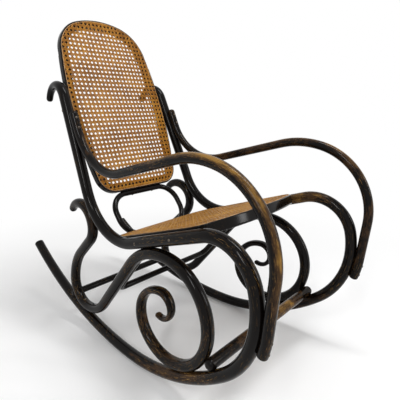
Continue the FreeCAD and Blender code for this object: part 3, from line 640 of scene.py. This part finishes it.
@dataclass(frozen=True)
class CaneFinish:
    """Aged woven cane, with strands of slightly different tones."""

    name: str
    pale: Colour
    middle: Colour
    dark: Colour
    sheen_rough: float = 0.42
    specular: float = 0.14
    rough_change: float = 0.2
    streaky: Grain = Grain(60.0, 3.0, 0.6, part=0.45)
    cloudy: Grain = Grain(9.0, 3.0, 0.6, part=0.55)
    fibrous: Grain = Grain(900.0, part=0.20)
    strand_part: float = 0.30
    strands_apart: float = 7.0
    spread: tuple[float, float] = (0.42, 1.08)
    relief: Relief = Relief(0.0002, 0.4)

    def make(self) -> bpy.types.Material:
        """Build the finish.

        Returns:
            The material.
        """
        material, bench = new_material(self.name)
        point = bench.object_point()
        tone, travel = (bench.made("ShaderNodeAttribute", {"attribute_name": name}, key="Fac")
                        for name in ("tone", "travel"))
        streak = bench.noise(bench.vector(travel, tone * self.strands_apart, 0.0), self.streaky)
        cloud = bench.noise(point, self.cloudy)
        fibre = bench.noise(point, self.fibrous)
        value = (tone * self.strand_part + streak * self.streaky.part
                 + cloud * self.cloudy.part + fibre * self.fibrous.part)
        stops = ((0.0, self.dark), (0.5, self.middle), (1.0, self.pale))
        tint = bench.made("ShaderNodeValToRGB", {"stops": stops},
                          {"Fac": value.step(*self.spread)}, "Color")
        rough = self.sheen_rough + (fibre - 0.5) * self.rough_change
        surface(bench, {"Base Color": tint, "Roughness": rough,
                        "Specular IOR Level": self.specular}, fibre, self.relief)
        return material


@dataclass(frozen=True)
class ReedFinish:
    """Pale reed of the spline that holds the cane in its groove."""

    name: str
    pale: Colour = colour(196, 152, 98)
    dark: Colour = colour(122, 82, 44)
    rough: float = 0.45
    rough_change: float = 0.2
    cloudy: Grain = Grain(30.0, 4.0, 0.6, part=0.7)
    fibrous: Grain = Grain(600.0, part=0.3)
    spread: tuple[float, float] = (0.35, 0.65)
    relief: Relief = Relief(0.0002, 0.3)

    def make(self) -> bpy.types.Material:
        """Build the finish."""
        material, bench = new_material(self.name)
        point = bench.object_point()
        cloud = bench.noise(point, self.cloudy)
        fibre = bench.noise(point, self.fibrous)
        value = cloud * self.cloudy.part + fibre * self.fibrous.part
        tint = bench.blend(value.step(*self.spread), self.dark, self.pale)
        rough = self.rough + (fibre - 0.5) * self.rough_change
        surface(bench, {"Base Color": tint, "Roughness": rough}, fibre, self.relief)
        return material


@dataclass(frozen=True)
class OldSteel:
    """Dull steel of old slotted screws."""

    name: str
    bright: Colour = colour(120, 110, 98)
    dark: Colour = colour(44, 38, 34)
    rough: float = 0.32
    rough_change: float = 0.25
    metallic: float = 0.9
    grimy: Grain = Grain(420.0, 3.0, 0.6)
    scratchy: Grain = Grain(2600.0)
    spread: tuple[float, float] = (0.4, 0.62)
    relief: Relief = Relief(0.0001, 0.3)

    def make(self) -> bpy.types.Material:
        """Build the finish."""
        material, bench = new_material(self.name)
        point = bench.object_point()
        grime = bench.noise(point, self.grimy)
        tint = bench.blend(grime.step(*self.spread), self.dark, self.bright)
        rough = self.rough + grime * self.rough_change
        surface(bench, {"Base Color": tint, "Roughness": rough, "Metallic": self.metallic},
                bench.noise(point, self.scratchy), self.relief)
        return material


class Lie(Enum):
    """Which way a cane strand runs across its panel."""

    UP = "up"
    ACROSS = "across"
    RISING = "rising"
    FALLING = "falling"


@dataclass(frozen=True)
class StrandRule:
    """How one set of parallel strands lies and weaves.

    The strand's height is swing * cos(2 pi c / pitch + phase), where c is its place up the
    panel for the strands that run up, and across it for all others.
    """

    lie: Lie
    offset: float
    swing: float
    phase: float
    slim: float = 1.0


@dataclass
class CaneWeave:
    """Woven cane in one wooden frame, in place of its plain sheet."""

    name: str
    node: str
    mount: str
    slot: str
    finish: CaneFinish
    pitch: float = 0.0157
    strand: float = 0.0036
    gap: float = 0.0006
    diagonal: float = 0.86
    thickness: float = 0.0009
    depth: float = 0.00065
    grid_swing: float = 0.00030
    cross_swing: float = 0.00022
    diagonal_swing: float = 0.00055
    step: float = 0.0027
    edge: float = 0.0003
    underside: float = 0.55
    shortest: float = 3.0
    seed: int = 5
    seed_step: float = 12.9898
    seed_spread: float = 43758.5453
    placement: Matrix = field(default_factory=Matrix)
    outline: Optional[BVHTree] = None
    low: Vector = field(default_factory=Vector)
    high: Vector = field(default_factory=Vector)

    def survey(self, frame: dict) -> None:
        """Find the panel's plane and outline from the solid that it stands for.

        Args:
            frame: The loaded frame.
        """
        mount = next(m for m in frame["record"]["mounts"] if m["name"] == self.mount)
        normal = Vector(mount["axis"]).normalized()
        across = Vector((1.0, 0.0, 0.0))
        up = normal.cross(across)
        origin = Vector((0.0, mount["pos_m"][1], mount["pos_m"][2]))
        self.placement = Matrix((
            (across.x, up.x, normal.x, origin.x),
            (across.y, up.y, normal.y, origin.y),
            (across.z, up.z, normal.z, origin.z),
            (0.0, 0.0, 0.0, 1.0),
        ))
        mesh = frame["nodes"][self.node].data
        inverse = self.placement.inverted()
        points = [inverse @ vertex.co for vertex in mesh.vertices]
        faces = [tuple(polygon.vertices) for polygon in mesh.polygons]
        self.outline = BVHTree.FromPolygons(points, faces)
        self.low = Vector(min(point[axis] for point in points) for axis in range(3))
        self.high = Vector(max(point[axis] for point in points) for axis in range(3))

    def rules(self) -> tuple[StrandRule, ...]:
        """All sets of strands: pairs up and across, and single diagonals both ways."""
        half = (self.strand + self.gap) / 2.0
        return (
            StrandRule(Lie.UP, -half, -self.grid_swing, 0.0),
            StrandRule(Lie.UP, half, self.grid_swing, 0.0),
            StrandRule(Lie.ACROSS, -half, self.cross_swing, math.pi / 2.0),
            StrandRule(Lie.ACROSS, half, self.cross_swing, math.pi / 2.0),
            StrandRule(Lie.RISING, self.pitch / 2.0, self.diagonal_swing, 0.0, self.diagonal),
            StrandRule(Lie.FALLING, self.pitch / 2.0, -self.diagonal_swing, 0.0, self.diagonal),
        )

    def _line(self, rule: StrandRule, index: int) -> tuple[Vector, Vector]:
        """A point on a strand's endless line, and its direction."""
        place = index * self.pitch + rule.offset
        middle = self._middle()
        if rule.lie is Lie.UP:
            return Vector((place, middle, -self.depth)), Vector((0.0, 1.0, 0.0))
        if rule.lie is Lie.ACROSS:
            return Vector((0.0, middle + place, -self.depth)), Vector((1.0, 0.0, 0.0))
        slope = 1.0 if rule.lie is Lie.RISING else -1.0
        return Vector((place, middle, -self.depth)), Vector((1.0, slope, 0.0)).normalized()

    def _middle(self) -> float:
        """Height up the panel of the middle row of the weave."""
        return (self.low.y + self.high.y) / 2.0

    def _ends(self, point: Vector, way: Vector) -> Optional[tuple[Vector, Vector]]:
        """Where a line enters and leaves the panel.

        Args:
            point: A point of the line.
            way: Its direction.

        Returns:
            Both ends, or nothing where the line misses the panel.
        """
        reach = (self.high - self.low).length
        first = self.outline.ray_cast(point - way * reach, way)[0]
        last = self.outline.ray_cast(point + way * reach, -way)[0]
        if first is None or last is None:
            return None
        if (last - first).dot(way) < self.shortest * self.strand:
            return None
        return first + way * self.edge, last - way * self.edge

    def guides(self, lies: Sequence[Lie]) -> Iterator[tuple[Vector, Vector, StrandRule]]:
        """Both ends and the rule of every strand of some sets."""
        count = int((self.high - self.low).length / self.pitch) + 2
        for rule in self.rules():
            if rule.lie not in lies:
                continue
            for index in range(-count, count + 1):
                found = self._ends(*self._line(rule, index))
                if found is not None:
                    yield found[0], found[1], rule

    def _tree(self) -> bpy.types.GeometryNodeTree:
        """Node tree that turns guide edges into woven strands."""
        tree = bpy.data.node_groups.new(f"{self.name}_strands", "GeometryNodeTree")
        sockets = tree.interface
        sockets.new_socket("Geometry", in_out="INPUT", socket_type="NodeSocketGeometry")
        for name in ("Pitch", "Middle", "Step", "Width", "Thickness"):
            sockets.new_socket(name, in_out="INPUT", socket_type="NodeSocketFloat")
        sockets.new_socket("Material", in_out="INPUT", socket_type="NodeSocketMaterial")
        sockets.new_socket("Geometry", in_out="OUTPUT", socket_type="NodeSocketGeometry")
        bench = Bench(tree)
        given = bench.add("NodeGroupInput")
        pitch, middle, step, width, thick = (
            bench.out(given, name) for name in ("Pitch", "Middle", "Step", "Width", "Thickness"))

        def attribute(name: str) -> Term:
            """A named number that every guide carries."""
            return bench.made("GeometryNodeInputNamedAttribute", {"data_type": "FLOAT"},
                              {"Name": name}, "Attribute")

        guides = bench.out(given, "Geometry")
        curves = bench.made("GeometryNodeMeshToCurve", values={"Mesh": guides})
        curves = bench.made("GeometryNodeResampleCurve", {"mode": "LENGTH"},
                            {"Curve": curves, "Length": step})
        x, y, _ = bench.parts(bench.made("GeometryNodeInputPosition"))
        place = bench.choose(attribute("upward"), x, y - middle)
        turn = place * (2.0 * math.pi) / pitch + attribute("phase")
        wave = bench.vector(0.0, 0.0, attribute("swing") * bench.sums("COSINE", turn))
        curves = bench.made("GeometryNodeSetPosition", values={"Geometry": curves, "Offset": wave})
        curves = bench.made("GeometryNodeSetCurveNormal", {"mode": "Z_UP"}, {"Curve": curves})
        curves = bench.made("GeometryNodeSetCurveRadius",
                            values={"Curve": curves, "Radius": attribute("slim")})
        travel = bench.made("GeometryNodeSplineParameter", key="Length")
        curves = bench.made("GeometryNodeStoreNamedAttribute",
                            {"data_type": "FLOAT", "domain": "POINT"},
                            {"Geometry": curves, "Name": "travel", "Value": travel})
        section = bench.made("GeometryNodeCurvePrimitiveQuadrilateral", {"mode": "TRAPEZOID"},
                             {"Bottom Width": width * self.underside, "Top Width": width,
                              "Offset": 0.0, "Height": thick})
        strands = bench.made("GeometryNodeCurveToMesh",
                             values={"Curve": curves, "Profile Curve": section, "Fill Caps": True})
        strands = bench.made("GeometryNodeRealizeInstances", values={"Geometry": strands})
        strands = bench.made("GeometryNodeSetMaterial",
                             values={"Geometry": strands, "Material": bench.out(given, "Material")})
        bench.add("NodeGroupOutput", values={"Geometry": strands})
        return tree

    def _guide_mesh(self, name: str, lies: Sequence[Lie]) -> bpy.types.Mesh:
        """Mesh of one edge per strand, with the numbers that its weaving needs."""
        points: list[Vector] = []
        edges: list[tuple[int, int]] = []
        keys = ("swing", "phase", "upward", "slim", "tone")
        numbers: dict[str, list[float]] = {key: [] for key in keys}
        for count, (first, last, rule) in enumerate(self.guides(lies)):
            edges.append((len(points), len(points) + 1))
            points += [first, last]
            wild = math.sin((count + 1) * self.seed_step + self.seed) * self.seed_spread
            row = (rule.swing, rule.phase, float(rule.lie is Lie.UP), rule.slim,
                   math.modf(wild)[0] % 1.0)
            for key, value in zip(keys, row):
                numbers[key] += [value, value]
        mesh = bpy.data.meshes.new(name)
        mesh.from_pydata(points, edges, [])
        for key, values in numbers.items():
            mesh.attributes.new(key, "FLOAT", "POINT").data.foreach_set("value", values)
        return mesh

    def weave(self, part: str, lies: Sequence[Lie], material: bpy.types.Material,
              tree: bpy.types.GeometryNodeTree) -> bpy.types.Object:
        """Make one piece of the weave and put it in place of the sheet.

        Args:
            part: What the piece is called after the panel's own name.
            lies: Which sets of strands it holds.
            material: Its finish.
            tree: The tree that weaves.

        Returns:
            The piece, with its place in its mesh.
        """
        name = f"{self.name}_{part}"
        loom = bpy.data.objects.new(f"{name}_guides", self._guide_mesh(f"{name}_guides", lies))
        bpy.context.scene.collection.objects.link(loom)
        modifier = loom.modifiers.new("strands", "NODES")
        modifier.node_group = tree
        values = {"Pitch": self.pitch, "Middle": self._middle(), "Step": self.step,
                  "Width": self.strand, "Thickness": self.thickness, "Material": material}
        for item in tree.interface.items_tree:
            if item.in_out == "INPUT" and item.name in values:
                modifier[item.identifier] = values[item.name]
        woven = loom.evaluated_get(bpy.context.evaluated_depsgraph_get())
        mesh = bpy.data.meshes.new_from_object(woven)
        mesh.transform(self.placement)
        mesh.name = name
        bpy.data.objects.remove(loom)
        mesh.shade_smooth()
        return put_in_place(name, mesh, self.node, self.slot)

    def build(self, frame: dict) -> list[bpy.types.Object]:
        """Weave the panel.

        Args:
            frame: The loaded frame.

        Returns:
            Its pieces.
        """
        self.survey(frame)
        material = self.finish.make()
        tree = self._tree()
        return [self.weave("grid", (Lie.UP, Lie.ACROSS), material, tree),
                self.weave("diagonals", (Lie.RISING, Lie.FALLING), material, tree)]


@dataclass
class ScrollRod:
    """Scroll under one side of the seat, whose coil gets flatter and narrower to its tip."""

    name: str
    node: str
    side: float
    finish: EbonisedWood
    half_width: float = 0.2311
    toe: float = 0.04366
    thickness: float = 0.032
    tip_width: float = 0.020
    tip_thickness: float = 0.0135
    hook_tip: float = 0.68
    hook_length: float = 0.09
    coil_bends: int = 3
    narrowing: float = 0.60
    squareness: float = 2.3
    spacing: float = 0.004
    corners: int = 28
    hook_rounding: float = 0.35
    hook_fullness: float = 0.6
    tip_rounding: float = 0.45
    tip_fullness: float = 0.8
    first_turn: float = 0.01
    rounding_rings: int = 8

    def _at(self, travelled: float) -> tuple[Vector, Vector]:
        """A point of the rod's middle line and the direction to its left there."""
        along = Vector((-self.side * self.toe, 1.0, 0.0)).normalized()
        for stretch in self.finish.stretches:
            if travelled <= stretch.length() or stretch is self.finish.stretches[-1]:
                break
            travelled -= stretch.length()
        y, z, heading = stretch.at(travelled)
        left = along * -math.sin(heading) + Vector((0.0, 0.0, math.cos(heading)))
        return Vector((self.side * (self.half_width - self.toe * y), y, z)), left

    def _half_sizes(self, travelled: float, length: float) -> tuple[float, float]:
        """Half width and half thickness at a place along the rod."""
        coil = sum(stretch.length() for stretch in self.finish.stretches[-self.coil_bends:])
        share = max(0.0, (travelled - (length - coil)) / coil)
        thin = self.thickness + (self.tip_thickness - self.thickness) * share
        narrow = max(0.0, (share - self.narrowing) / (1.0 - self.narrowing))
        wide = self.thickness + (self.tip_width - self.thickness) * eased(narrow)
        hook = min(1.0, travelled / self.hook_length)
        full = self.hook_tip + (1.0 - self.hook_tip) * hook * (2.0 - hook)
        return wide * full / 2.0, thin * full / 2.0

    def _places(self, length: float) -> Iterator[tuple[float, float]]:
        """Places along the rod with the share of its full section, rounded at both ends."""
        first, last = self.hook_rounding * self.thickness, self.tip_rounding * self.tip_width
        quarter = math.pi / 2.0 / self.rounding_rings
        turns = [self.first_turn] + [quarter * step for step in range(1, self.rounding_rings)]
        for turn in turns:
            yield first * (1.0 - math.cos(turn)), math.sin(turn) ** self.hook_fullness
        count = int((length - first - last) / self.spacing)
        for step in range(count + 1):
            yield first + step * (length - first - last) / count, 1.0
        for turn in reversed(turns):
            yield length - last * (1.0 - math.cos(turn)), math.sin(turn) ** self.tip_fullness

    def _shell(self) -> tuple[list[Vector], list[tuple[int, ...]]]:
        """Points and faces of the swept rod."""
        length = sum(stretch.length() for stretch in self.finish.stretches)
        outwards = Vector((1.0, self.side * self.toe, 0.0)).normalized()
        points: list[Vector] = []
        faces: list[tuple[int, ...]] = []
        power = 2.0 / self.squareness
        for ring, (travelled, share) in enumerate(self._places(length)):
            middle, left = self._at(travelled)
            wide, thin = self._half_sizes(travelled, length)
            for corner in range(self.corners):
                turn = 2.0 * math.pi * corner / self.corners
                out, over = (math.copysign(abs(part) ** power, part)
                             for part in (math.cos(turn), math.sin(turn)))
                points.append(middle + outwards * (wide * share * out)
                              + left * (thin * share * over))
                if ring:
                    here = ring * self.corners + corner
                    there = ring * self.corners + (corner + 1) % self.corners
                    faces.append((here - self.corners, there - self.corners, there, here))
        faces.append(tuple(range(self.corners)))
        faces.append(tuple(range(len(points) - self.corners, len(points))))
        return points, faces

    def build(self) -> bpy.types.Object:
        """Sweep the rod and put it in place of its solid.

        Returns:
            The rod.
        """
        mesh = bpy.data.meshes.new(self.name)
        points, faces = self._shell()
        mesh.from_pydata(points, [], faces)
        shell = bmesh.new()
        shell.from_mesh(mesh)
        bmesh.ops.recalc_face_normals(shell, faces=shell.faces)
        shell.to_mesh(mesh)
        shell.free()
        mesh.shade_smooth()
        mesh.materials.append(self.finish.make())
        return put_in_place(self.name, mesh, self.node, WOOD_SLOT)


def changed_copy(frame: dict, node: str, name: str, moved: Callable[[Vector], Vector],
                 material: bpy.types.Material, slot: str) -> bpy.types.Object:
    """Put a copy of a solid, with some of its points moved, in place of the solid.

    Args:
        frame: The loaded frame.
        node: The solid's name.
        name: The copy's name.
        moved: Gives the new place of a point.
        material: The copy's finish.
        slot: The record's slot of that finish.

    Returns:
        The copy.
    """
    shell = bmesh.new()
    shell.from_mesh(frame["nodes"][node].data)
    bmesh.ops.remove_doubles(shell, verts=shell.verts, dist=SAME_POINT)
    shell.verts.index_update()
    points = [moved(vertex.co.copy()) for vertex in shell.verts]
    faces = [tuple(vertex.index for vertex in face.verts) for face in shell.faces]
    shell.free()
    mesh = bpy.data.meshes.new(name)
    mesh.from_pydata(points, [], faces)
    mesh.shade_smooth()
    mesh.set_sharp_from_angle(angle=SHARP_EDGE)
    mesh.materials.append(material)
    return put_in_place(name, mesh, node, slot)


@dataclass
class HookedPost:
    """Rail and post of one side, whose hook at the top gets thinner towards its end.

    The hook bends round its centre, in degrees from y towards z. The plane's numbers give the
    x of the rod's middle at a y and a z.
    """

    name: str
    node: str
    side: float
    finish: EbonisedWood
    centre: tuple[float, float] = (0.3186, 0.7720)
    start_angle: float = 157.0
    end_angle: float = 8.0
    last_angle: float = -40.0
    reach: float = 0.085
    kept_radius: float = 0.0480
    plane: tuple[float, float, float] = (0.2703, -0.0634, -0.0559)
    tip_depth: float = 0.58
    tip_width: float = 0.66

    def _thinned(self, point: Vector) -> Vector:
        """Where a point of the full-size rod goes on the thinned hook."""
        arm = Vector((point.y - self.centre[0], point.z - self.centre[1]))
        angle = math.degrees(math.atan2(arm.y, arm.x))
        if arm.length > self.reach or not self.last_angle < angle < self.start_angle:
            return point
        turned = (self.start_angle - angle) / (self.start_angle - self.end_angle)
        share = eased(min(1.0, turned))
        depth, width = (1.0 + (tip - 1.0) * share for tip in (self.tip_depth, self.tip_width))
        arm = arm.normalized() * (self.kept_radius + (arm.length - self.kept_radius) * depth)
        at_zero, by_y, by_z = self.plane
        middle = self.side * (at_zero + by_y * point.y + by_z * point.z)
        return Vector((middle + (point.x - middle) * width,
                       self.centre[0] + arm.x, self.centre[1] + arm.y))

    def build(self, frame: dict) -> bpy.types.Object:
        """Thin the hook of a copy of the rod, and put that in place of the rod.

        Args:
            frame: The loaded frame.

        Returns:
            The rod.
        """
        return changed_copy(frame, self.node, self.name, self._thinned, self.finish.make(),
                            WOOD_SLOT)


@dataclass
class ArmEnds:
    """Both arms, whose front ends stop higher on the bow, and the screws that hold them there.

    The ends bend round a centre, in degrees from y towards z.
    """

    near: EbonisedWood
    far: EbonisedWood
    steel: OldSteel
    centre: tuple[float, float] = (-0.2801, 0.3396)
    start_angle: float = 185.3
    kept_share: float = 0.62
    upper_screw_angle: float = 191.1
    lower_screw_angle: float = 201.3

    def _angle(self, point: Vector) -> float:
        """Where a point lies round the end's bend."""
        across, up = point.y - self.centre[0], point.z - self.centre[1]
        return math.degrees(math.atan2(up, across)) % 360.0

    def _turned(self, point: Vector, angle: float) -> Vector:
        """A point that is moved back up the bend, as far as the wood at an angle of it."""
        turn = math.radians((angle - self.start_angle) * (self.kept_share - 1.0))
        y, z = point.y - self.centre[0], point.z - self.centre[1]
        return Vector((point.x, self.centre[0] + y * math.cos(turn) - z * math.sin(turn),
                       self.centre[1] + y * math.sin(turn) + z * math.cos(turn)))

    def _wood(self, point: Vector) -> Vector:
        """Where a point of the full-length arm goes."""
        angle = self._angle(point)
        if point.z > self.centre[1] or angle < self.start_angle:
            return point
        return self._turned(point, angle)

    def _screw(self, point: Vector) -> Vector:
        """Where a point of a screw goes, which keeps its shape."""
        upper, lower = self.upper_screw_angle, self.lower_screw_angle
        is_upper = self._angle(point) < (upper + lower) / 2.0
        return self._turned(point, upper if is_upper else lower)

    def build(self, frame: dict) -> list[bpy.types.Object]:
        """Put both arms and their front screws in place of the solids.

        Args:
            frame: The loaded frame.

        Returns:
            The arms and the screws.
        """
        return [changed_copy(frame, node, name, moved, finish.make(), slot)
                for node, name, moved, finish, slot in (
                    ("left_arm", "left_arm_rod", self._wood, self.far, WOOD_SLOT),
                    ("right_arm", "right_arm_rod", self._wood, self.near, WOOD_SLOT),
                    ("arm_front_screws", "arm_end_screws", self._screw, self.steel, STEEL_SLOT))]


@dataclass
class BentFrame:
    """The wood, reeds and screws whose solids stay and get their finish."""

    steel: OldSteel
    reed: ReedFinish
    wood: dict[str, EbonisedWood]

    def dress(self, frame: dict) -> None:
        """Give every solid that stays its finish.

        Args:
            frame: The loaded frame.
        """
        steel, reed = self.steel.make(), self.reed.make()
        for node, piece in frame["nodes"].items():
            if node in self.wood:
                self._assign(piece, self.wood[node].make())
                LOG.info("finished %s", node)
            elif node.endswith("_screws"):
                self._assign(piece, steel)
            elif node.endswith("_spline"):
                self._assign(piece, reed)

    @staticmethod
    def _assign(piece: bpy.types.Object, material: bpy.types.Material) -> None:
        """Put one material in every slot of a piece."""
        if not piece.material_slots:
            piece.data.materials.append(material)
        for place in piece.material_slots:
            place.material = material


@dataclass(frozen=True)
class Lamp:
    """A soft oblong lamp that is turned to the chair. Its power is in watts."""

    name: str
    place: tuple[float, float, float]
    width: float
    length: float
    power: float


@dataclass
class Studio:
    """Pale floor, soft lamps and the camera."""

    eye: tuple[float, float, float] = (-0.858, -0.9045, 0.772)
    look: tuple[float, float, float] = (0.7214, 0.6471, -0.2465)
    lens: float = 34.2
    sensor: float = 36.0
    clip: tuple[float, float] = (0.01, 100.0)
    floor_size: float = 14.0
    floor_tint: Colour = (0.96, 0.96, 0.96, 1.0)
    fade: tuple[float, float] = (0.6, 1.7)
    daylight: float = 0.60
    lit_point: tuple[float, float, float] = (0.0, 0.0, 0.45)
    lamps: tuple[Lamp, ...] = (
        Lamp("window", (-2.4, -1.2, 2.3), 0.30, 1.2, 25.0),
        Lamp("ceiling", (0.3, -0.7, 3.0), 0.34, 1.4, 33.0),
        Lamp("doorway", (1.6, -2.8, 1.5), 0.30, 1.2, 16.0),
    )

    @staticmethod
    def _place(item: bpy.types.Object, place: Sequence[float], look: Vector) -> None:
        """Put a camera or a lamp somewhere, looking one way."""
        item.location = place
        item.rotation_euler = look.to_track_quat("-Z", "Y").to_euler()
        bpy.context.scene.collection.objects.link(item)

    def set_camera(self) -> None:
        """Place the camera."""
        data = bpy.data.cameras.new("viewpoint")
        data.lens = self.lens
        data.sensor_width = self.sensor
        data.clip_start, data.clip_end = self.clip
        camera = bpy.data.objects.new("viewpoint", data)
        self._place(camera, self.eye, Vector(self.look))
        bpy.context.scene.camera = camera

    @staticmethod
    def _seen(bench: Bench) -> Term:
        """1 where the surroundings are looked at or mirrored, and 0 where they light."""
        rays = bench.add("ShaderNodeLightPath")
        looked_at = bench.out(rays, "Is Camera Ray")
        mirrored = bench.sums("MAXIMUM", bench.out(rays, "Is Glossy Ray"),
                              bench.out(rays, "Is Transmission Ray"))
        return bench.sums("MAXIMUM", looked_at, mirrored)

    def set_world(self) -> None:
        """White surroundings that light the chair softly."""
        world = bpy.data.worlds.new("studio")
        bpy.context.scene.world = world
        world.use_nodes = True
        world.node_tree.nodes.clear()
        bench = Bench(world.node_tree)
        strength = bench.choose(self._seen(bench), self.daylight, 1.0)
        background = bench.made("ShaderNodeBackground",
                                values={"Color": WHITE, "Strength": strength})
        bench.add("ShaderNodeOutputWorld", values={"Surface": background})

    def lay_floor(self) -> None:
        """A pale floor that keeps the chair's shadow and fades into the surroundings."""
        half = self.floor_size / 2.0
        mesh = bpy.data.meshes.new("floor")
        corners = [(-half, -half, 0.0), (half, -half, 0.0), (half, half, 0.0), (-half, half, 0.0)]
        mesh.from_pydata(corners, [], [(0, 1, 2, 3)])
        floor = bpy.data.objects.new("floor", mesh)
        bpy.context.scene.collection.objects.link(floor)
        material, bench = new_material("pale_floor")
        away = bench.made("ShaderNodeVectorMath", {"operation": "LENGTH"},
                          {0: bench.object_point()}, "Value")
        paint = bench.made("ShaderNodeBsdfDiffuse", values={"Color": self.floor_tint})
        glow = bench.made("ShaderNodeEmission", values={"Color": WHITE, "Strength": 1.0})
        share = away.step(*self.fade) * self._seen(bench)
        mixed = bench.made("ShaderNodeMixShader", values={0: share, 1: paint, 2: glow})
        bench.add("ShaderNodeOutputMaterial", values={"Surface": mixed})
        mesh.materials.append(material)

    def hang_lamps(self) -> None:
        """Soft lamps from the left, from above and from the right."""
        for lamp in self.lamps:
            data = bpy.data.lights.new(lamp.name, "AREA")
            data.shape = "RECTANGLE"
            data.size, data.size_y = lamp.width, lamp.length
            data.energy = lamp.power
            self._place(bpy.data.objects.new(lamp.name, data), lamp.place,
                        Vector(self.lit_point) - Vector(lamp.place))

    def build(self) -> None:
        """Set up everything round the chair."""
        bpy.context.scene.view_settings.view_transform = "Standard"
        self.set_camera()
        self.set_world()
        self.lay_floor()
        self.hang_lamps()


FRAME = BentFrame(OldSteel("old_screw_steel"), ReedFinish("reed"), {
    "left_runner": EbonisedWood("left_runner_wood", RUNNER, wear=-0.02, places=FAR_BOW_PLACES),
    "right_runner": EbonisedWood("right_runner_wood", RUNNER, wear=-0.04, flecks=0.85,
                                 places=NEAR_BOW_PLACES),
    "seat_frame": EbonisedWood("seat_frame_wood", wear=-0.2, flecks=0.15),
    "back_frame": EbonisedWood("back_frame_wood", grain=(1.0, 1.0, 0.06), wear=-0.3, flecks=0.1),
    "back_ring": EbonisedWood("ring_wood", wear=-0.2, flecks=0.2),
    "front_stretcher": EbonisedWood("front_stretcher_wood", wear=0.12, flecks=0.3,
                                    places=FOOT_PLACES),
    "rear_stretcher": EbonisedWood("rear_stretcher_wood", wear=0.0),
    "seat_brace": EbonisedWood("brace_wood", wear=-0.05),
})
ARMS = ArmEnds(
    near=EbonisedWood("right_arm_wood", ARM, wear=0.05, flecks=0.55, band=(-0.85, -0.5),
                      rod_radius=0.0135, places=NEAR_ARM_PLACES),
    far=EbonisedWood("left_arm_wood", ARM, wear=0.26, flecks=0.45, band=(-1.0, 0.0),
                     rod_radius=0.0135, places=FAR_ARM_PLACES),
    steel=OldSteel("arm_screw_steel"),
)
POSTS = (
    HookedPost("left_rail_rod", "left_rail_and_post", LEFT,
               EbonisedWood("left_rail_wood", RAIL_AND_POST, wear=-0.1, places=FAR_BOW_PLACES)),
    HookedPost("right_rail_rod", "right_rail_and_post", RIGHT,
               EbonisedWood("right_rail_wood", RAIL_AND_POST, wear=-0.14, flecks=0.85,
                            places=NEAR_BOW_PLACES)),
)
SCROLLS = (
    ScrollRod("left_scroll_rod", "left_scroll", LEFT,
              EbonisedWood("left_scroll_wood", SCROLL, wear=0.02, rod_radius=0.016)),
    ScrollRod("right_scroll_rod", "right_scroll", RIGHT,
              EbonisedWood("right_scroll_wood", SCROLL, wear=0.08, rod_radius=0.016,
                           places=NEAR_LOOP_PLACES)),
)
WEAVES = (
    CaneWeave("seat_weave", "seat_cane", "seat_top", "seat_caning",
              CaneFinish("seat_cane_finish", colour(180, 134, 60), colour(150, 103, 36),
                         colour(104, 66, 20))),
    CaneWeave("back_weave", "back_cane", "back_face", "back_caning",
              CaneFinish("back_cane_finish", colour(182, 131, 50), colour(148, 96, 26),
                         colour(96, 57, 14))),
)


def main() -> None:
    """Build the looks in order and report each piece."""
    logging.basicConfig(level=logging.INFO, format="%(message)s")
    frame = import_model()
    Studio().build()
    FRAME.dress(frame)
    pieces = ARMS.build(frame)
    pieces += [post.build(frame) for post in POSTS]
    pieces += [scroll.build() for scroll in SCROLLS]
    for weave in WEAVES:
        pieces += weave.build(frame)
    for piece in pieces:
        LOG.info("%s has %d faces", piece.name, len(piece.data.polygons))


if __name__ == "__main__":
    main()
